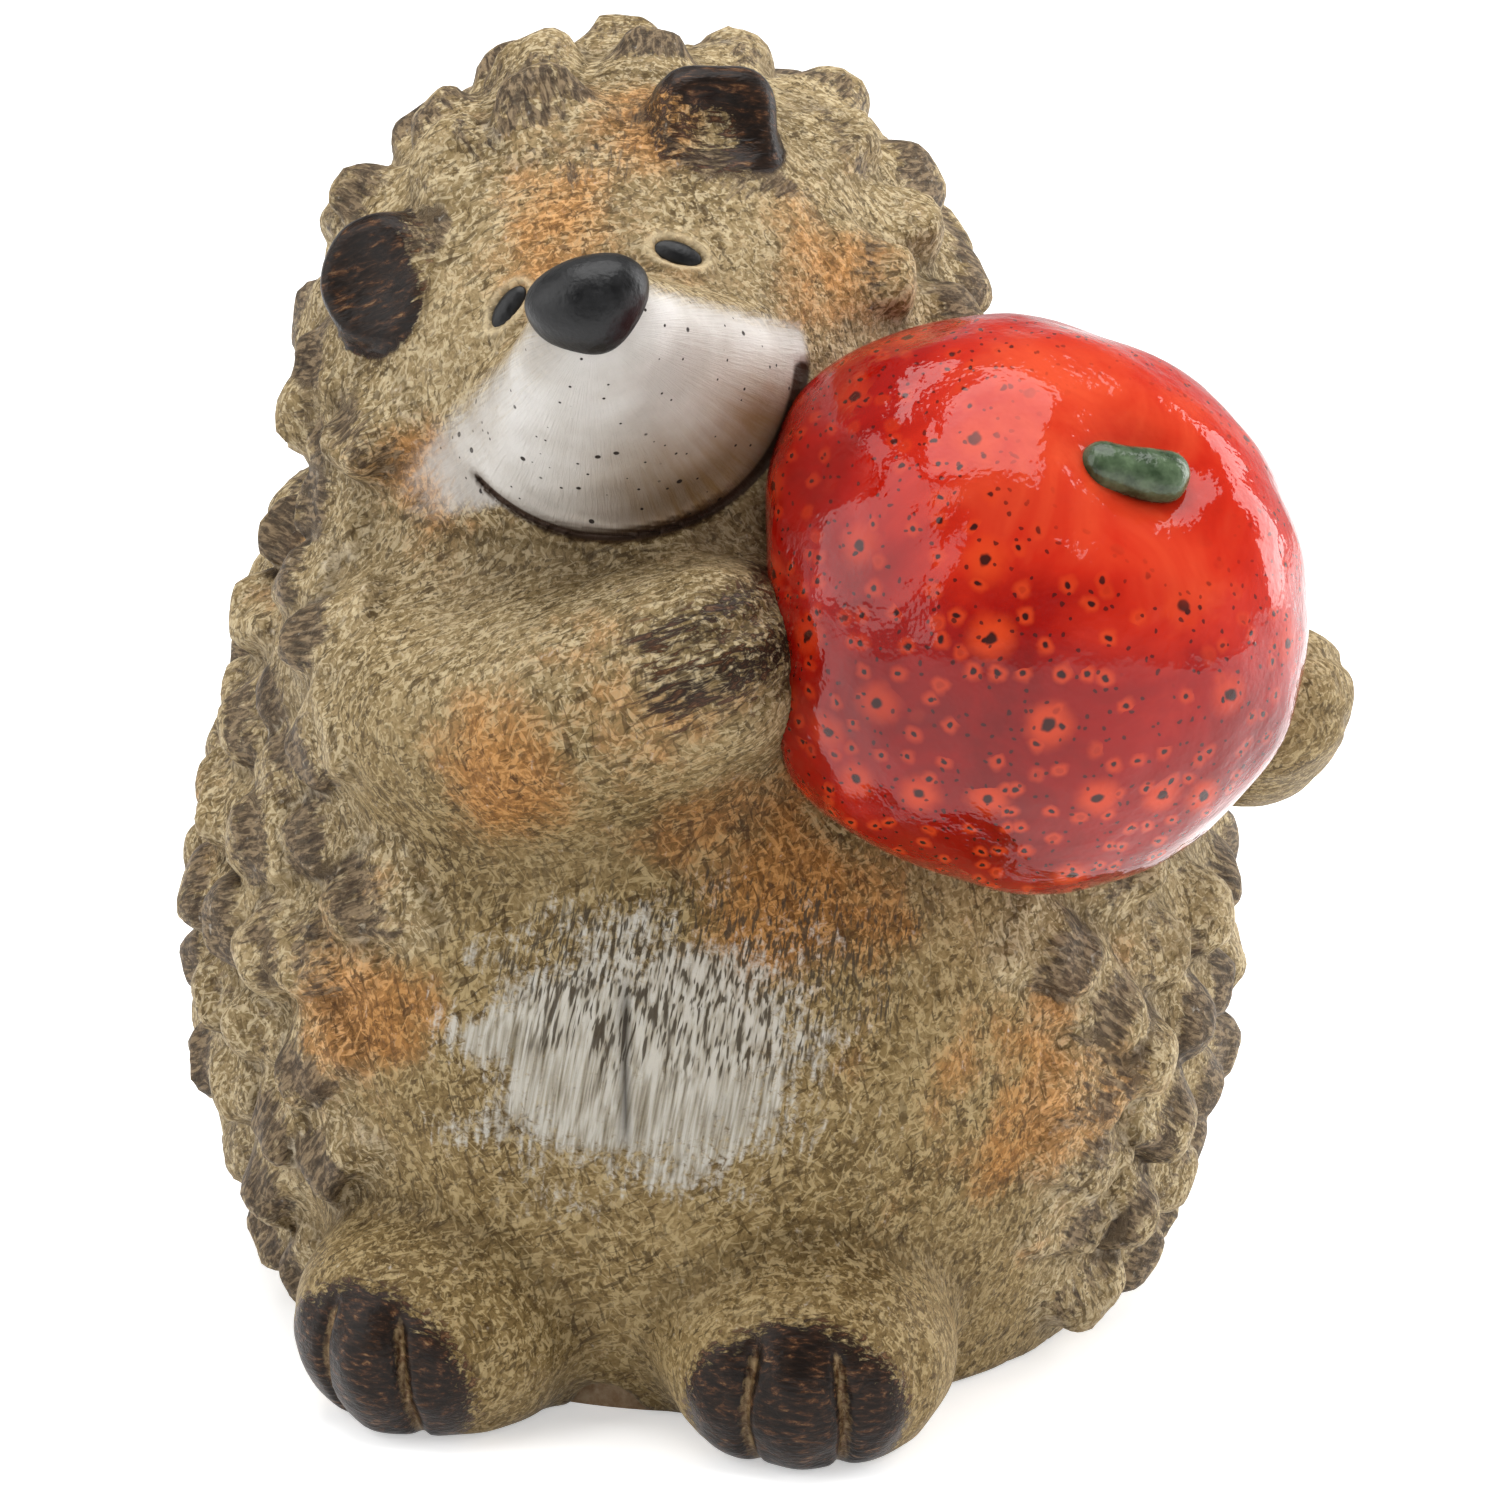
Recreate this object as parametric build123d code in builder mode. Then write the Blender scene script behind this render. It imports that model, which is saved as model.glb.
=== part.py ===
from build123d import *
import os
from math import asin, atan2, cos, degrees, hypot, pi, radians, sin, sqrt, tan

# Hedgehog figurine hugging an apple: hollow clay shells and hand-made pieces luted together. Millimetres.
# The origin is the middle of the base, on the floor. +Z is up, the figure faces -Y and its own left is +X.

os.makedirs("parts", exist_ok=True)

# Clay shell: a round trunk with a ball for the head
wall = 5.0
base_radius = 56.0
girth_radius = 68.8
girth_height = 47.0
shoulder_radius = 57.0
shoulder_height = 103.0
trunk_top_height = 134.0
head_radius = 43.5
head_sideways = -8.5
head_forward = 6.5
head_height = 129.5
overrun = 2.0

# Openings and seams of the shell
slab_thickness = 5.0
slab_rim = 2.0
vent_radius = 6.0
vent_back = 24.0
arch_radius = 4.5
arch_sideways = -4.5
seam_angle_right = 38.0
seam_angle_left = 56.0
chin_height = 119.0

# Face: it looks up and leans to the figure's own right; reaches are out from the skin of the head
face_turn = 6.0
face_pitch = 20.0
face_roll = 18.5
face_radius = 28.0
muzzle_widths = [48.0, 31.0, 15.0]
muzzle_heights = [32.5, 23.0, 12.0]
muzzle_reaches = [-10.5, 7.5, 22.5]
muzzle_lifts = [-9.5, -4.0, 1.5]
mouth_radius = 24.0
mouth_groove_radius = 1.1
mouth_arc = 134.0
nose_width = 16.0
nose_height = 12.5
nose_front_reach = 28.0
nose_back_reach = 17.5
nose_lift = 3.0
nose_corner_radius = 4.6
nose_edge_radius = 3.6
eye_length = 6.8
eye_width = 3.6
eye_bulge = 1.0
eye_socket_depth = 2.0
eye_edge_radius = 0.6
eye_spacing = 22.6
eye_lift = 9.2
eye_slant = 35.0

# Ears: thick dished flaps
ear_radius = 8.8
ear_thickness = 8.0
ear_dish_depth = 3.0
ear_rim = 2.6
ear_edge_radius = 1.2
ear_flare = 24.0

# Places of the ears in the face plane, across, up and out, as shares of the head radius
ear_right_place_shares = [-0.609, 0.437, 0.655]
ear_left_place_shares = [0.46, 0.575, 0.667]

# Quills: short broad tongues, carved with flat sides, in staggered rows that lean backwards and down
quill_width = 11.8
quill_thickness = 8.4
quill_length = 6.4
quill_bed = 1.0
quill_lean = 45.0
quill_sway = 14.0
quill_sway_step = 2.4
quill_pitch = 14.0
quill_row_pitch = 12.8
quill_first_height = 10.5
quill_droop_share = 0.6
quill_seam_gap = 6.8
quill_clearance = 3.0
quill_spacing_share = 0.9
quill_tip_share = 0.52

# Corners of a quill's six-sided section, as shares of its width and thickness
quill_corner_shares = [(0.5, 0), (0.25, 0.5), (-0.25, 0.5), (-0.5, 0), (-0.25, -0.5), (0.25, -0.5)]

# Apple in the crook of the left arm
apple_radius = 35.6
apple_dimple_radius = 16.0
apple_dimple_depth = 6.0
apple_dimple_edge_radius = 6.0
apple_turn = 42.0
apple_pitch = 46.5
stem_length = 13.5
stem_width = 6.6
stem_turn = -22.0
stem_sink = 1.4

# Arms: radii from the shoulder to the paw
arm_right_radii = [10.5, 13.0, 14.0, 12.5]
arm_left_radii = [14.0, 12.5, 11.5, 10.5]

# Places of the apple and of points along the arms: angle from the front, then shares of the girth radius
# and of the shoulder height
apple_place_shares = [(47.06, 1.003, 1.097)]
arm_right_route_shares = [(-50, 0.74, 0.96), (-31, 0.83, 0.93), (-9, 0.89, 0.96), (11, 0.93, 1.05)]
arm_left_route_shares = [(102, 0.79, 0.88), (92, 0.97, 0.84), (81, 1.11, 0.85), (73, 1.205, 0.92)]

# Feet
foot_radius = 19.5
foot_half_height = 16.5
foot_middle_height = 12.0
foot_spacing = 50.0
foot_sideways = -1.7
foot_right_reach = 1.5
foot_left_reach = 1.0
foot_seat_share = 0.33
foot_right_splay = 24.0
foot_left_splay = 3.0
toe_groove_radius = 1.3
toe_groove_angle = 20.0
toe_groove_start = -20.0
toe_groove_arc = 70.0

# Claw lines of the paws
claw_groove_radius = 1.1
claw_spacing_share = 0.35
claw_groove_arc = 140.0


def direction(turn, pitch):
    """Unit vector turned from the front (-Y) towards +X and then pitched up, in degrees."""
    return Vector(
        sin(radians(turn)) * cos(radians(pitch)),
        -cos(radians(turn)) * cos(radians(pitch)),
        sin(radians(pitch)),
    )


# The face plane sits in the middle of the head with Z out along the muzzle and Y up the forehead
head_centre = Vector(head_sideways, -head_forward, head_height)
face_axis = direction(face_turn, face_pitch)
face_level = Vector(0, 0, 1).cross(face_axis).normalized()
face_across = face_level.rotate(Axis((0, 0, 0), tuple(face_axis)), face_roll)
face = Plane(head_centre, x_dir=face_across, z_dir=face_axis)
face_line = Axis(face.origin, face.z_dir)
mouth_depth = sqrt(head_radius**2 - mouth_radius**2)


def upright(plane):
    """The plane with the same origin and X whose Y runs along the given plane's Z."""
    return Plane(plane.origin, x_dir=plane.x_dir, z_dir=-plane.y_dir)


def turned(plane, angle):
    """The plane turned about its own Z."""
    across = plane.x_dir.rotate(Axis((0, 0, 0), plane.z_dir), angle)
    return Plane(plane.origin, x_dir=across, z_dir=plane.z_dir)


def eye_plane(side):
    """Middle of an eye on the skin, with X along its slant and Z out of the head; side is +1 for the left."""
    across = side * eye_spacing / 2
    depth = sqrt(head_radius**2 - across**2 - eye_lift**2)
    place = face.from_local_coords(Vector(across, eye_lift, depth))
    slant = face.x_dir.rotate(Axis((0, 0, 0), face.z_dir), -side * eye_slant)
    normal = (place - head_centre).normalized()
    return Plane(place, x_dir=slant - normal * slant.dot(normal), z_dir=normal)


def ear_plane(side):
    """Middle of an ear flap, with Z out of the dish; side is +1 for the left."""
    shares = ear_left_place_shares if side > 0 else ear_right_place_shares
    place = face.from_local_coords(Vector(*shares) * head_radius)
    facing = face.z_dir.rotate(Axis((0, 0, 0), face.y_dir), side * ear_flare)
    return Plane(place, x_dir=face.y_dir, z_dir=facing)


def foot_plane(side, reach, splay):
    """Middle of a foot, with X out along the toes and Z up; side is +1 for the left."""
    across = side * foot_spacing / 2 + foot_sideways
    seat_radius = base_radius + (girth_radius - base_radius) * foot_seat_share
    seat_forward = sqrt(seat_radius**2 - across**2)
    place = Vector(across, -seat_forward - reach, foot_middle_height)
    return Plane(place, x_dir=direction(side * splay, 0), z_dir=Vector(0, 0, 1))


foot_right_plane = foot_plane(-1, foot_right_reach, foot_right_splay)
foot_left_plane = foot_plane(1, foot_left_reach, foot_left_splay)


def girth_places(shares):
    """Points around the trunk from a table of shares."""
    return [
        direction(turn, 0) * girth_radius * out_share + Vector(0, 0, shoulder_height * up_share)
        for turn, out_share, up_share in shares
    ]


arm_right_route = girth_places(arm_right_route_shares)
arm_left_route = girth_places(arm_left_route_shares)

# The apple plane sits in the middle of the apple with Z along the core
apple_core = direction(apple_turn, apple_pitch)
apple_centre = girth_places(apple_place_shares)[0]
apple_plane = Plane(apple_centre, x_dir=Vector(0, 0, 1).cross(apple_core), z_dir=apple_core)


def trunk_outline(inset):
    """Half outline of the trunk, radius against height, from the base to the top, inset from the skin."""
    return Spline(
        (base_radius - inset, 0),
        (girth_radius - inset, girth_height),
        (shoulder_radius - inset, shoulder_height),
        (0, trunk_top_height - inset),
        tangents=[(base_radius, trunk_top_height), (-1, 0)],
    )


def clay_form(inset):
    """Trunk and head as one solid, inset from the outer skin."""
    with BuildPart() as form:
        with BuildSketch(Plane.XZ):
            with BuildLine():
                outline = trunk_outline(inset)
                Polyline(outline @ 1, (0, 0), outline @ 0)
            make_face()
        revolve(axis=Axis.Z)
        with Locations(head_centre):
            Sphere(head_radius - inset)
    return form.part


def apple_form(inset):
    """The apple, inset from its skin: a ball with a dimple for the stem."""
    with BuildPart() as form:
        with Locations(apple_plane):
            Sphere(apple_radius - inset)
        with Locations(apple_plane.offset(apple_radius + apple_dimple_radius - apple_dimple_depth)):
            Sphere(apple_dimple_radius + inset, mode=Mode.SUBTRACT)
    return form.part


def eye_form(plane):
    """An oval plug that reaches into its socket and bulges a little out of the skin."""
    with BuildPart() as form:
        with BuildSketch(plane.offset(-eye_socket_depth)):
            Ellipse(eye_length / 2, eye_width / 2)
        extrude(amount=eye_socket_depth + eye_bulge)
        fillet(form.faces().sort_by(Axis(plane.origin, plane.z_dir))[-1].edges(), eye_edge_radius)
    return form.part


def ear_form(plane):
    """A thick round flap with a dish in its front."""
    with BuildPart() as form:
        with BuildSketch(plane.offset(-ear_thickness / 2)):
            Circle(ear_radius)
        extrude(amount=ear_thickness)
        with BuildSketch(plane.offset(ear_thickness / 2)):
            Circle(ear_radius - ear_rim)
        extrude(amount=-ear_dish_depth, mode=Mode.SUBTRACT)
        fillet(form.faces().sort_by(Axis(plane.origin, plane.z_dir))[-1].edges(), ear_edge_radius)
    return form.part


def arm_form(points, radii):
    """A tapering arm through round sections on its middle line, with a round paw and two claw lines."""
    line = Spline(*points)
    paw_radius = radii[-1]
    paw_line = line.tangent_at(points[-1])
    paw = Plane(points[-1], x_dir=paw_line.cross(Vector(0, 0, 1)), z_dir=paw_line)
    claw_offset = paw_radius * claw_spacing_share
    claw_reach = sqrt(paw_radius**2 - claw_offset**2)
    with BuildPart() as form:
        for point, radius in zip(points, radii):
            with BuildSketch(Plane(point, z_dir=line.tangent_at(point))):
                Circle(radius)
        loft()
        with Locations(paw):
            Sphere(paw_radius)
        for side in (-1, 1):
            middle = paw.origin + paw.y_dir * side * claw_offset
            ring = Plane(middle, x_dir=paw.z_dir, z_dir=paw.y_dir)
            start = turned(ring, -claw_groove_arc / 2)
            with BuildSketch(upright(start)):
                with Locations((claw_reach, 0)):
                    Circle(claw_groove_radius)
            revolve(axis=Axis(ring.origin, ring.z_dir), revolution_arc=claw_groove_arc, mode=Mode.SUBTRACT)
    return form.part


def foot_form(plane):
    """A rounded foot, flat on the floor, with two toe lines over its front."""
    with BuildPart() as form:
        with BuildSketch(upright(plane)):
            Ellipse(foot_radius, foot_half_height)
            with Locations((foot_radius / 2, 0)):
                Rectangle(foot_radius, 2 * foot_half_height, mode=Mode.SUBTRACT)
        revolve(axis=Axis(plane.origin, plane.z_dir))
        split(bisect_by=Plane.XY, keep=Keep.TOP)
        for side in (-1, 1):
            with BuildLine(upright(turned(plane, side * toe_groove_angle))) as toe_line:
                EllipticalCenterArc(
                    (0, 0),
                    foot_radius,
                    foot_half_height,
                    start_angle=toe_groove_start,
                    arc_size=toe_groove_arc,
                )
            with BuildSketch(toe_line.line ^ 0):
                Circle(toe_groove_radius)
            sweep(mode=Mode.SUBTRACT)
    return form.part


# Spots for the quills, each a point on the skin and the way out of the clay


def trunk_spots():
    """Staggered rows around the trunk, from the base up."""
    outline = trunk_outline(0)
    spots = []
    for row in range(int((outline.length - quill_first_height) / quill_row_pitch)):
        along = quill_first_height + row * quill_row_pitch
        point = outline.position_at(along, PositionMode.LENGTH)
        rise = outline.tangent_at(along, PositionMode.LENGTH)
        count = round(2 * pi * point.X / quill_pitch)
        for i in range(count):
            out = direction(360 * (i + row % 2 / 2) / count, 0)
            normal = out * rise.Y - Vector(0, 0, rise.X)
            spots.append((out * point.X + Vector(0, 0, point.Y), normal))
    return spots


def head_spots():
    """Staggered rings around the head, from the edge of the face to the nape."""
    first = asin((face_radius + quill_seam_gap) / head_radius)
    step = quill_row_pitch / head_radius
    spots = []
    for ring in range(int((pi - first) / step)):
        polar = first + ring * step
        count = round(2 * pi * head_radius * sin(polar) / quill_pitch)
        for i in range(count):
            turn = 2 * pi * (i + ring % 2 / 2) / count
            across = face.x_dir * cos(turn) + face.y_dir * sin(turn)
            normal = across * sin(polar) + face.z_dir * cos(polar)
            spots.append((head_centre + normal * head_radius, normal))
    return spots


def coat_spots(skin):
    """The spots that stay clear of the belly, the face, the limbs, the apple and each other."""
    round_pieces = [(apple_centre, apple_radius)]
    round_pieces += list(zip(arm_right_route, arm_right_radii)) + list(zip(arm_left_route, arm_left_radii))
    round_pieces += [(ear_plane(side).origin, ear_radius) for side in (-1, 1)]
    round_pieces += [(plane.origin, foot_radius) for plane in (foot_right_plane, foot_left_plane)]
    margin = quill_width / 2 + quill_clearance
    kept = []
    for point, normal in head_spots() + trunk_spots():
        seam_turn = degrees(quill_seam_gap / hypot(point.X, point.Y))
        turn = degrees(atan2(point.X, -point.Y))
        in_belly = -seam_angle_right - seam_turn < turn < seam_angle_left + seam_turn
        seen = face.to_local_coords(point)
        in_face = seen.Z > 0 and hypot(seen.X, seen.Y) < face_radius + quill_seam_gap / 2
        if in_face or (in_belly and point.Z < chin_height + quill_seam_gap):
            continue
        if skin.is_inside(point + normal * quill_bed):
            continue
        if any((point - middle).length < radius + margin for middle, radius in round_pieces):
            continue
        if any((point - other).length < quill_pitch * quill_spacing_share for other, _ in kept):
            continue
        kept.append((point, normal))
    return kept


def quill_plane(number, point, normal):
    """Root of a quill, sunk into the clay, with Z along the quill; each sways a little to a side."""
    combed = Vector(0, 1, -quill_droop_share)
    lean = (combed - normal * combed.dot(normal)).normalized()
    lean = lean.rotate(Axis((0, 0, 0), tuple(normal)), quill_sway * sin(number * quill_sway_step))
    along = normal * cos(radians(quill_lean)) + lean * sin(radians(quill_lean))
    return Plane(point - along * quill_sink, x_dir=along.cross(normal), z_dir=along)


quill_sink = quill_thickness / 2 * tan(radians(quill_lean)) + quill_bed
skin = clay_form(0)
apple_skin = apple_form(0)
slab_radius = base_radius - slab_rim

# The hollow of the shell, with a rebate below for the slab
with BuildPart() as hollow:
    add(clay_form(wall))
    with BuildSketch(Plane.XY):
        Circle(slab_radius)
    extrude(amount=slab_thickness)

# Tools that part the shell: the round of the face, the wedge of the belly and the line of the mouth
with BuildPart() as face_tool:
    with BuildSketch(face):
        Circle(face_radius)
    extrude(amount=head_radius + overrun)

with BuildPart() as belly_tool:
    with BuildSketch(Plane.XY):
        with BuildLine():
            sides = [direction(turn, 0) * girth_radius * 2 for turn in (-seam_angle_right, seam_angle_left)]
            Polyline((0, 0), sides[0], sides[0] + sides[1], sides[1], close=True)
        make_face()
    extrude(amount=chin_height)

with BuildPart() as mouth_tool:
    with BuildSketch(upright(turned(face, -90 - mouth_arc / 2))):
        with Locations((mouth_radius, mouth_depth)):
            Circle(mouth_groove_radius)
    revolve(axis=face_line, revolution_arc=mouth_arc)

# One quill, standing on the plane of its root and tapering to a blunt tip
with BuildPart() as quill:
    for height, share in ((0, 1), (quill_sink + quill_length, quill_tip_share)):
        with BuildSketch(Plane.XY.offset(height)):
            Polygon(*[(x * quill_width * share, y * quill_thickness * share) for x, y in quill_corner_shares])
    loft(ruled=True)

# Back shell: the coat of quills on the back of the trunk and head
with BuildPart() as back_shell:
    add(skin)
    with Locations(*[quill_plane(number, *spot) for number, spot in enumerate(coat_spots(skin))]):
        add(quill.part)
    add(hollow.part, mode=Mode.SUBTRACT)
    add(face_tool.part, mode=Mode.SUBTRACT)
    add(belly_tool.part, mode=Mode.SUBTRACT)
back_shell.part.label = "back_shell"
export_step(back_shell.part, "parts/back_shell.step")

# Belly shell: the smooth front of the trunk, with a small arch in its foot
with BuildPart() as belly_shell:
    add(skin)
    add(hollow.part, mode=Mode.SUBTRACT)
    add(belly_tool.part, mode=Mode.INTERSECT)
    add(face_tool.part, mode=Mode.SUBTRACT)
    with BuildSketch(Plane.XZ):
        with Locations((arch_sideways, 0)):
            Circle(arch_radius)
    extrude(amount=girth_radius, mode=Mode.SUBTRACT)
belly_shell.part.label = "belly_shell"
export_step(belly_shell.part, "parts/belly_shell.step")

# Face shell: the round of the head that carries the eyes and the muzzle
with BuildPart() as face_shell:
    add(skin)
    add(hollow.part, mode=Mode.SUBTRACT)
    add(face_tool.part, mode=Mode.INTERSECT)
    add(mouth_tool.part, mode=Mode.SUBTRACT)
    for side in (-1, 1):
        add(eye_form(eye_plane(side)), mode=Mode.SUBTRACT)
face_shell.part.label = "face_shell"
export_step(face_shell.part, "parts/face_shell.step")

# Muzzle: a broad tapering snout on the face, with the smile pressed along its lower edge
with BuildPart() as muzzle:
    for width, height, reach, lift in zip(muzzle_widths, muzzle_heights, muzzle_reaches, muzzle_lifts):
        with BuildSketch(face.offset(head_radius + reach)):
            with Locations((0, lift)):
                Ellipse(width / 2, height / 2)
    loft()
    add(skin, mode=Mode.SUBTRACT)
    add(mouth_tool.part, mode=Mode.SUBTRACT)
muzzle.part.label = "muzzle"
export_step(muzzle.part, "parts/muzzle.step")

# Nose: a rounded triangle over the tip of the muzzle
with BuildPart() as nose:
    with BuildSketch(face.offset(head_radius + nose_back_reach)):
        side = nose_width / 2 - nose_corner_radius
        drop = nose_height / 2 - nose_corner_radius
        with Locations((-side, nose_lift + drop), (side, nose_lift + drop), (0, nose_lift - drop)):
            Circle(nose_corner_radius)
        make_hull()
    extrude(amount=nose_front_reach - nose_back_reach)
    fillet(nose.faces().sort_by(face_line)[-1].edges(), nose_edge_radius)
    add(muzzle.part, mode=Mode.SUBTRACT)
nose.part.label = "nose"
export_step(nose.part, "parts/nose.step")

# Eyes: slanted oval plugs pressed into the face
with BuildPart() as eye_right:
    add(eye_form(eye_plane(-1)))
eye_right.part.label = "eye_right"
export_step(eye_right.part, "parts/eye_right.step")

with BuildPart() as eye_left:
    add(eye_form(eye_plane(1)))
eye_left.part.label = "eye_left"
export_step(eye_left.part, "parts/eye_left.step")

# Ears
with BuildPart() as ear_right:
    add(ear_form(ear_plane(-1)))
    add(skin, mode=Mode.SUBTRACT)
ear_right.part.label = "ear_right"
export_step(ear_right.part, "parts/ear_right.step")

with BuildPart() as ear_left:
    add(ear_form(ear_plane(1)))
    add(skin, mode=Mode.SUBTRACT)
ear_left.part.label = "ear_left"
export_step(ear_left.part, "parts/ear_left.step")

# Apple: a hollow cup whose open side is luted to the chest
with BuildPart() as apple:
    add(apple_skin)
    dimple_edge = apple.edges().filter_by(GeomType.CIRCLE).sort_by(Axis(apple_centre, apple_core))[-1]
    fillet(dimple_edge, apple_dimple_edge_radius)
    add(skin, mode=Mode.SUBTRACT)
    add(apple_form(wall), mode=Mode.SUBTRACT)
apple.part.label = "apple"
export_step(apple.part, "parts/apple.step")

# Apple stem: a bean that lies in the dimple
with BuildPart() as apple_stem:
    stem_lift = apple_radius - apple_dimple_depth - stem_sink + stem_width / 2
    stem_plane = turned(apple_plane, stem_turn).offset(stem_lift)
    with BuildSketch(stem_plane):
        SlotOverall(stem_length, stem_width)
        with Locations((0, -stem_width / 2)):
            Rectangle(stem_length + overrun, stem_width, mode=Mode.SUBTRACT)
    revolve(axis=Axis(stem_plane.origin, stem_plane.x_dir))
    add(apple_skin, mode=Mode.SUBTRACT)
apple_stem.part.label = "apple_stem"
export_step(apple_stem.part, "parts/apple_stem.step")

# Arms
with BuildPart() as arm_right:
    add(arm_form(arm_right_route, arm_right_radii))
    add(skin, mode=Mode.SUBTRACT)
    add(apple_skin, mode=Mode.SUBTRACT)
arm_right.part.label = "arm_right"
export_step(arm_right.part, "parts/arm_right.step")

with BuildPart() as arm_left:
    add(arm_form(arm_left_route, arm_left_radii))
    add(skin, mode=Mode.SUBTRACT)
    add(apple_skin, mode=Mode.SUBTRACT)
arm_left.part.label = "arm_left"
export_step(arm_left.part, "parts/arm_left.step")

# Feet
with BuildPart() as foot_right:
    add(foot_form(foot_right_plane))
    add(skin, mode=Mode.SUBTRACT)
foot_right.part.label = "foot_right"
export_step(foot_right.part, "parts/foot_right.step")

with BuildPart() as foot_left:
    add(foot_form(foot_left_plane))
    add(skin, mode=Mode.SUBTRACT)
foot_left.part.label = "foot_left"
export_step(foot_left.part, "parts/foot_left.step")

# Base slab: the floor of the hollow, with a vent for the kiln
with BuildPart() as base_slab:
    with BuildSketch(Plane.XY):
        Circle(slab_radius)
        with Locations((0, vent_back)):
            Circle(vent_radius, mode=Mode.SUBTRACT)
    extrude(amount=slab_thickness)
base_slab.part.label = "base_slab"
export_step(base_slab.part, "parts/base_slab.step")
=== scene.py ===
"""Looks of the hedgehog figurine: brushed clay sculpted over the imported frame. Forms are in millimetres."""

import bpy
import numpy as np
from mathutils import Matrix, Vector


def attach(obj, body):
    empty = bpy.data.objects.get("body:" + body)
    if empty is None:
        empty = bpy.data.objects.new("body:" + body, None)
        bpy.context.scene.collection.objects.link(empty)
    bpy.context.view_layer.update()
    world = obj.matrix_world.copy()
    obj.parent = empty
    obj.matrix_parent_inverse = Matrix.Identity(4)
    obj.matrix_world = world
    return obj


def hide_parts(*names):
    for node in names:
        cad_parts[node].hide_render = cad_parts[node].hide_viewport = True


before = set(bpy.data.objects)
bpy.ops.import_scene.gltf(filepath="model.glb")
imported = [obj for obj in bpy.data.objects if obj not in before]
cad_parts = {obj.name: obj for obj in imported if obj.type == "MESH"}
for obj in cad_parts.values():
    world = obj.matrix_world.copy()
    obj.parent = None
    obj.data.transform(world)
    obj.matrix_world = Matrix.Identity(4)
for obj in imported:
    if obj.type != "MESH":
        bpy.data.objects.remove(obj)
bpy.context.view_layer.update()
scene = bpy.context.scene
rng = np.random.default_rng(11)
millimetre = 0.001
far = 40.0


# Small mathematics


def unit(v):
    v = np.asarray(v, float)
    return v / np.linalg.norm(v)


def direction(turn, pitch=0.0):
    """Unit vector turned from the front (-Y) towards +X and then pitched up, in degrees."""
    t, p = np.radians((turn, pitch))
    return np.array((np.sin(t) * np.cos(p), -np.cos(t) * np.cos(p), np.sin(p)))


def spin(v, axis, angle):
    """v turned about a unit axis, in degrees."""
    a = np.radians(angle)
    return v * np.cos(a) + np.cross(axis, v) * np.sin(a) + axis * np.dot(axis, v) * (1 - np.cos(a))


def ramp(x, low, high):
    """Smooth step from 0 at low to 1 at high."""
    t = np.clip((x - low) / (high - low), 0, 1)
    return t * t * (3 - 2 * t)


def hump(x, width):
    return np.exp(-((x / width) ** 2))


def smin(a, b, k):
    """Union of two distances with a fillet of size k."""
    h = np.clip(0.5 + 0.5 * (b - a) / k, 0, 1)
    return b + (a - b) * h - k * h * (1 - h)


def smax(a, b, k):
    return -smin(-a, -b, k)


def wobble(p, size, seed):
    """Smooth, hand-made unevenness of about that wavelength, within about -1 to 1."""
    gen = np.random.default_rng(seed)
    total = np.zeros(len(p))
    for _ in range(6):
        wave = unit(gen.normal(size=3)) * 2 * np.pi / (size * gen.uniform(0.7, 1.4))
        total += np.sin(p @ wave + gen.uniform(0, 2 * np.pi))
    return total / 3.5


def within(p, middle, reach):
    """Numbers of the points that lie that near to a middle."""
    return np.flatnonzero(np.sum((p - middle) ** 2, axis=1) < reach**2)


def ellipsoid(q, radii):
    """Distance to an ellipsoid about the origin, good near its skin."""
    k0 = np.linalg.norm(q / radii, axis=-1)
    k1 = np.linalg.norm(q / np.square(radii), axis=-1)
    return k0 * (k0 - 1) / np.maximum(k1, 1e-6)


# The same frames and sizes as the CAD

head = np.array((-8.5, -6.5, 129.5))
head_radius = 43.5
face_radius = 28.0
chin_height = 119.0
seam_right, seam_left = -38.0, 56.0
wall = 5.0
slab_radius, slab_thickness = 54.0, 5.0
base_radius, girth_radius, shoulder_radius = 56.0, 68.8, 57.0
girth_height, shoulder_height, trunk_top_height = 47.0, 103.0, 134.0

face_z = direction(6.0, 20.0)
face_x = spin(unit(np.cross((0, 0, 1), face_z)), face_z, 18.5)
face_y = np.cross(face_z, face_x)
face_axes = np.stack((face_x, face_y, face_z))


def face_local(p):
    return (p - head) @ face_axes.T


apple_core = direction(42.0, 46.5)
apple_x = unit(np.cross((0, 0, 1), apple_core))


def girth_place(turn, out_share, up_share):
    return direction(turn) * girth_radius * out_share + np.array((0, 0, shoulder_height * up_share))


apple_centre = girth_place(47.06, 1.003, 1.097)
apple_radius = 35.6


def clamped_spline(points, start, end, count, pulls=(1.0, 1.0)):
    """Smooth curve through the points with the given end directions and how hard they pull."""
    p = np.asarray(points, float)
    t = np.concatenate(([0], np.cumsum(np.linalg.norm(np.diff(p, axis=0), axis=1))))
    n = len(p)
    a, b = np.eye(n), np.zeros_like(p)
    b[0], b[-1] = pulls[0] * unit(start), pulls[1] * unit(end)
    for i in range(1, n - 1):
        h0, h1 = t[i] - t[i - 1], t[i + 1] - t[i]
        a[i, i - 1 : i + 2] = h1, 2 * (h0 + h1), h0
        b[i] = 3 * (h1 * (p[i] - p[i - 1]) / h0 + h0 * (p[i + 1] - p[i]) / h1)
    m = np.linalg.solve(a, b)
    s = np.linspace(0, t[-1], count)
    i = np.clip(np.searchsorted(t, s, side="right") - 1, 0, n - 2)
    h = (t[i + 1] - t[i])[:, None]
    u = ((s - t[i]) / h[:, 0])[:, None]
    return (
        (1 + 2 * u) * (1 - u) ** 2 * p[i]
        + u * (1 - u) ** 2 * h * m[i]
        + u * u * (3 - 2 * u) * p[i + 1]
        + u * u * (u - 1) * h * m[i + 1]
    )


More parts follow.
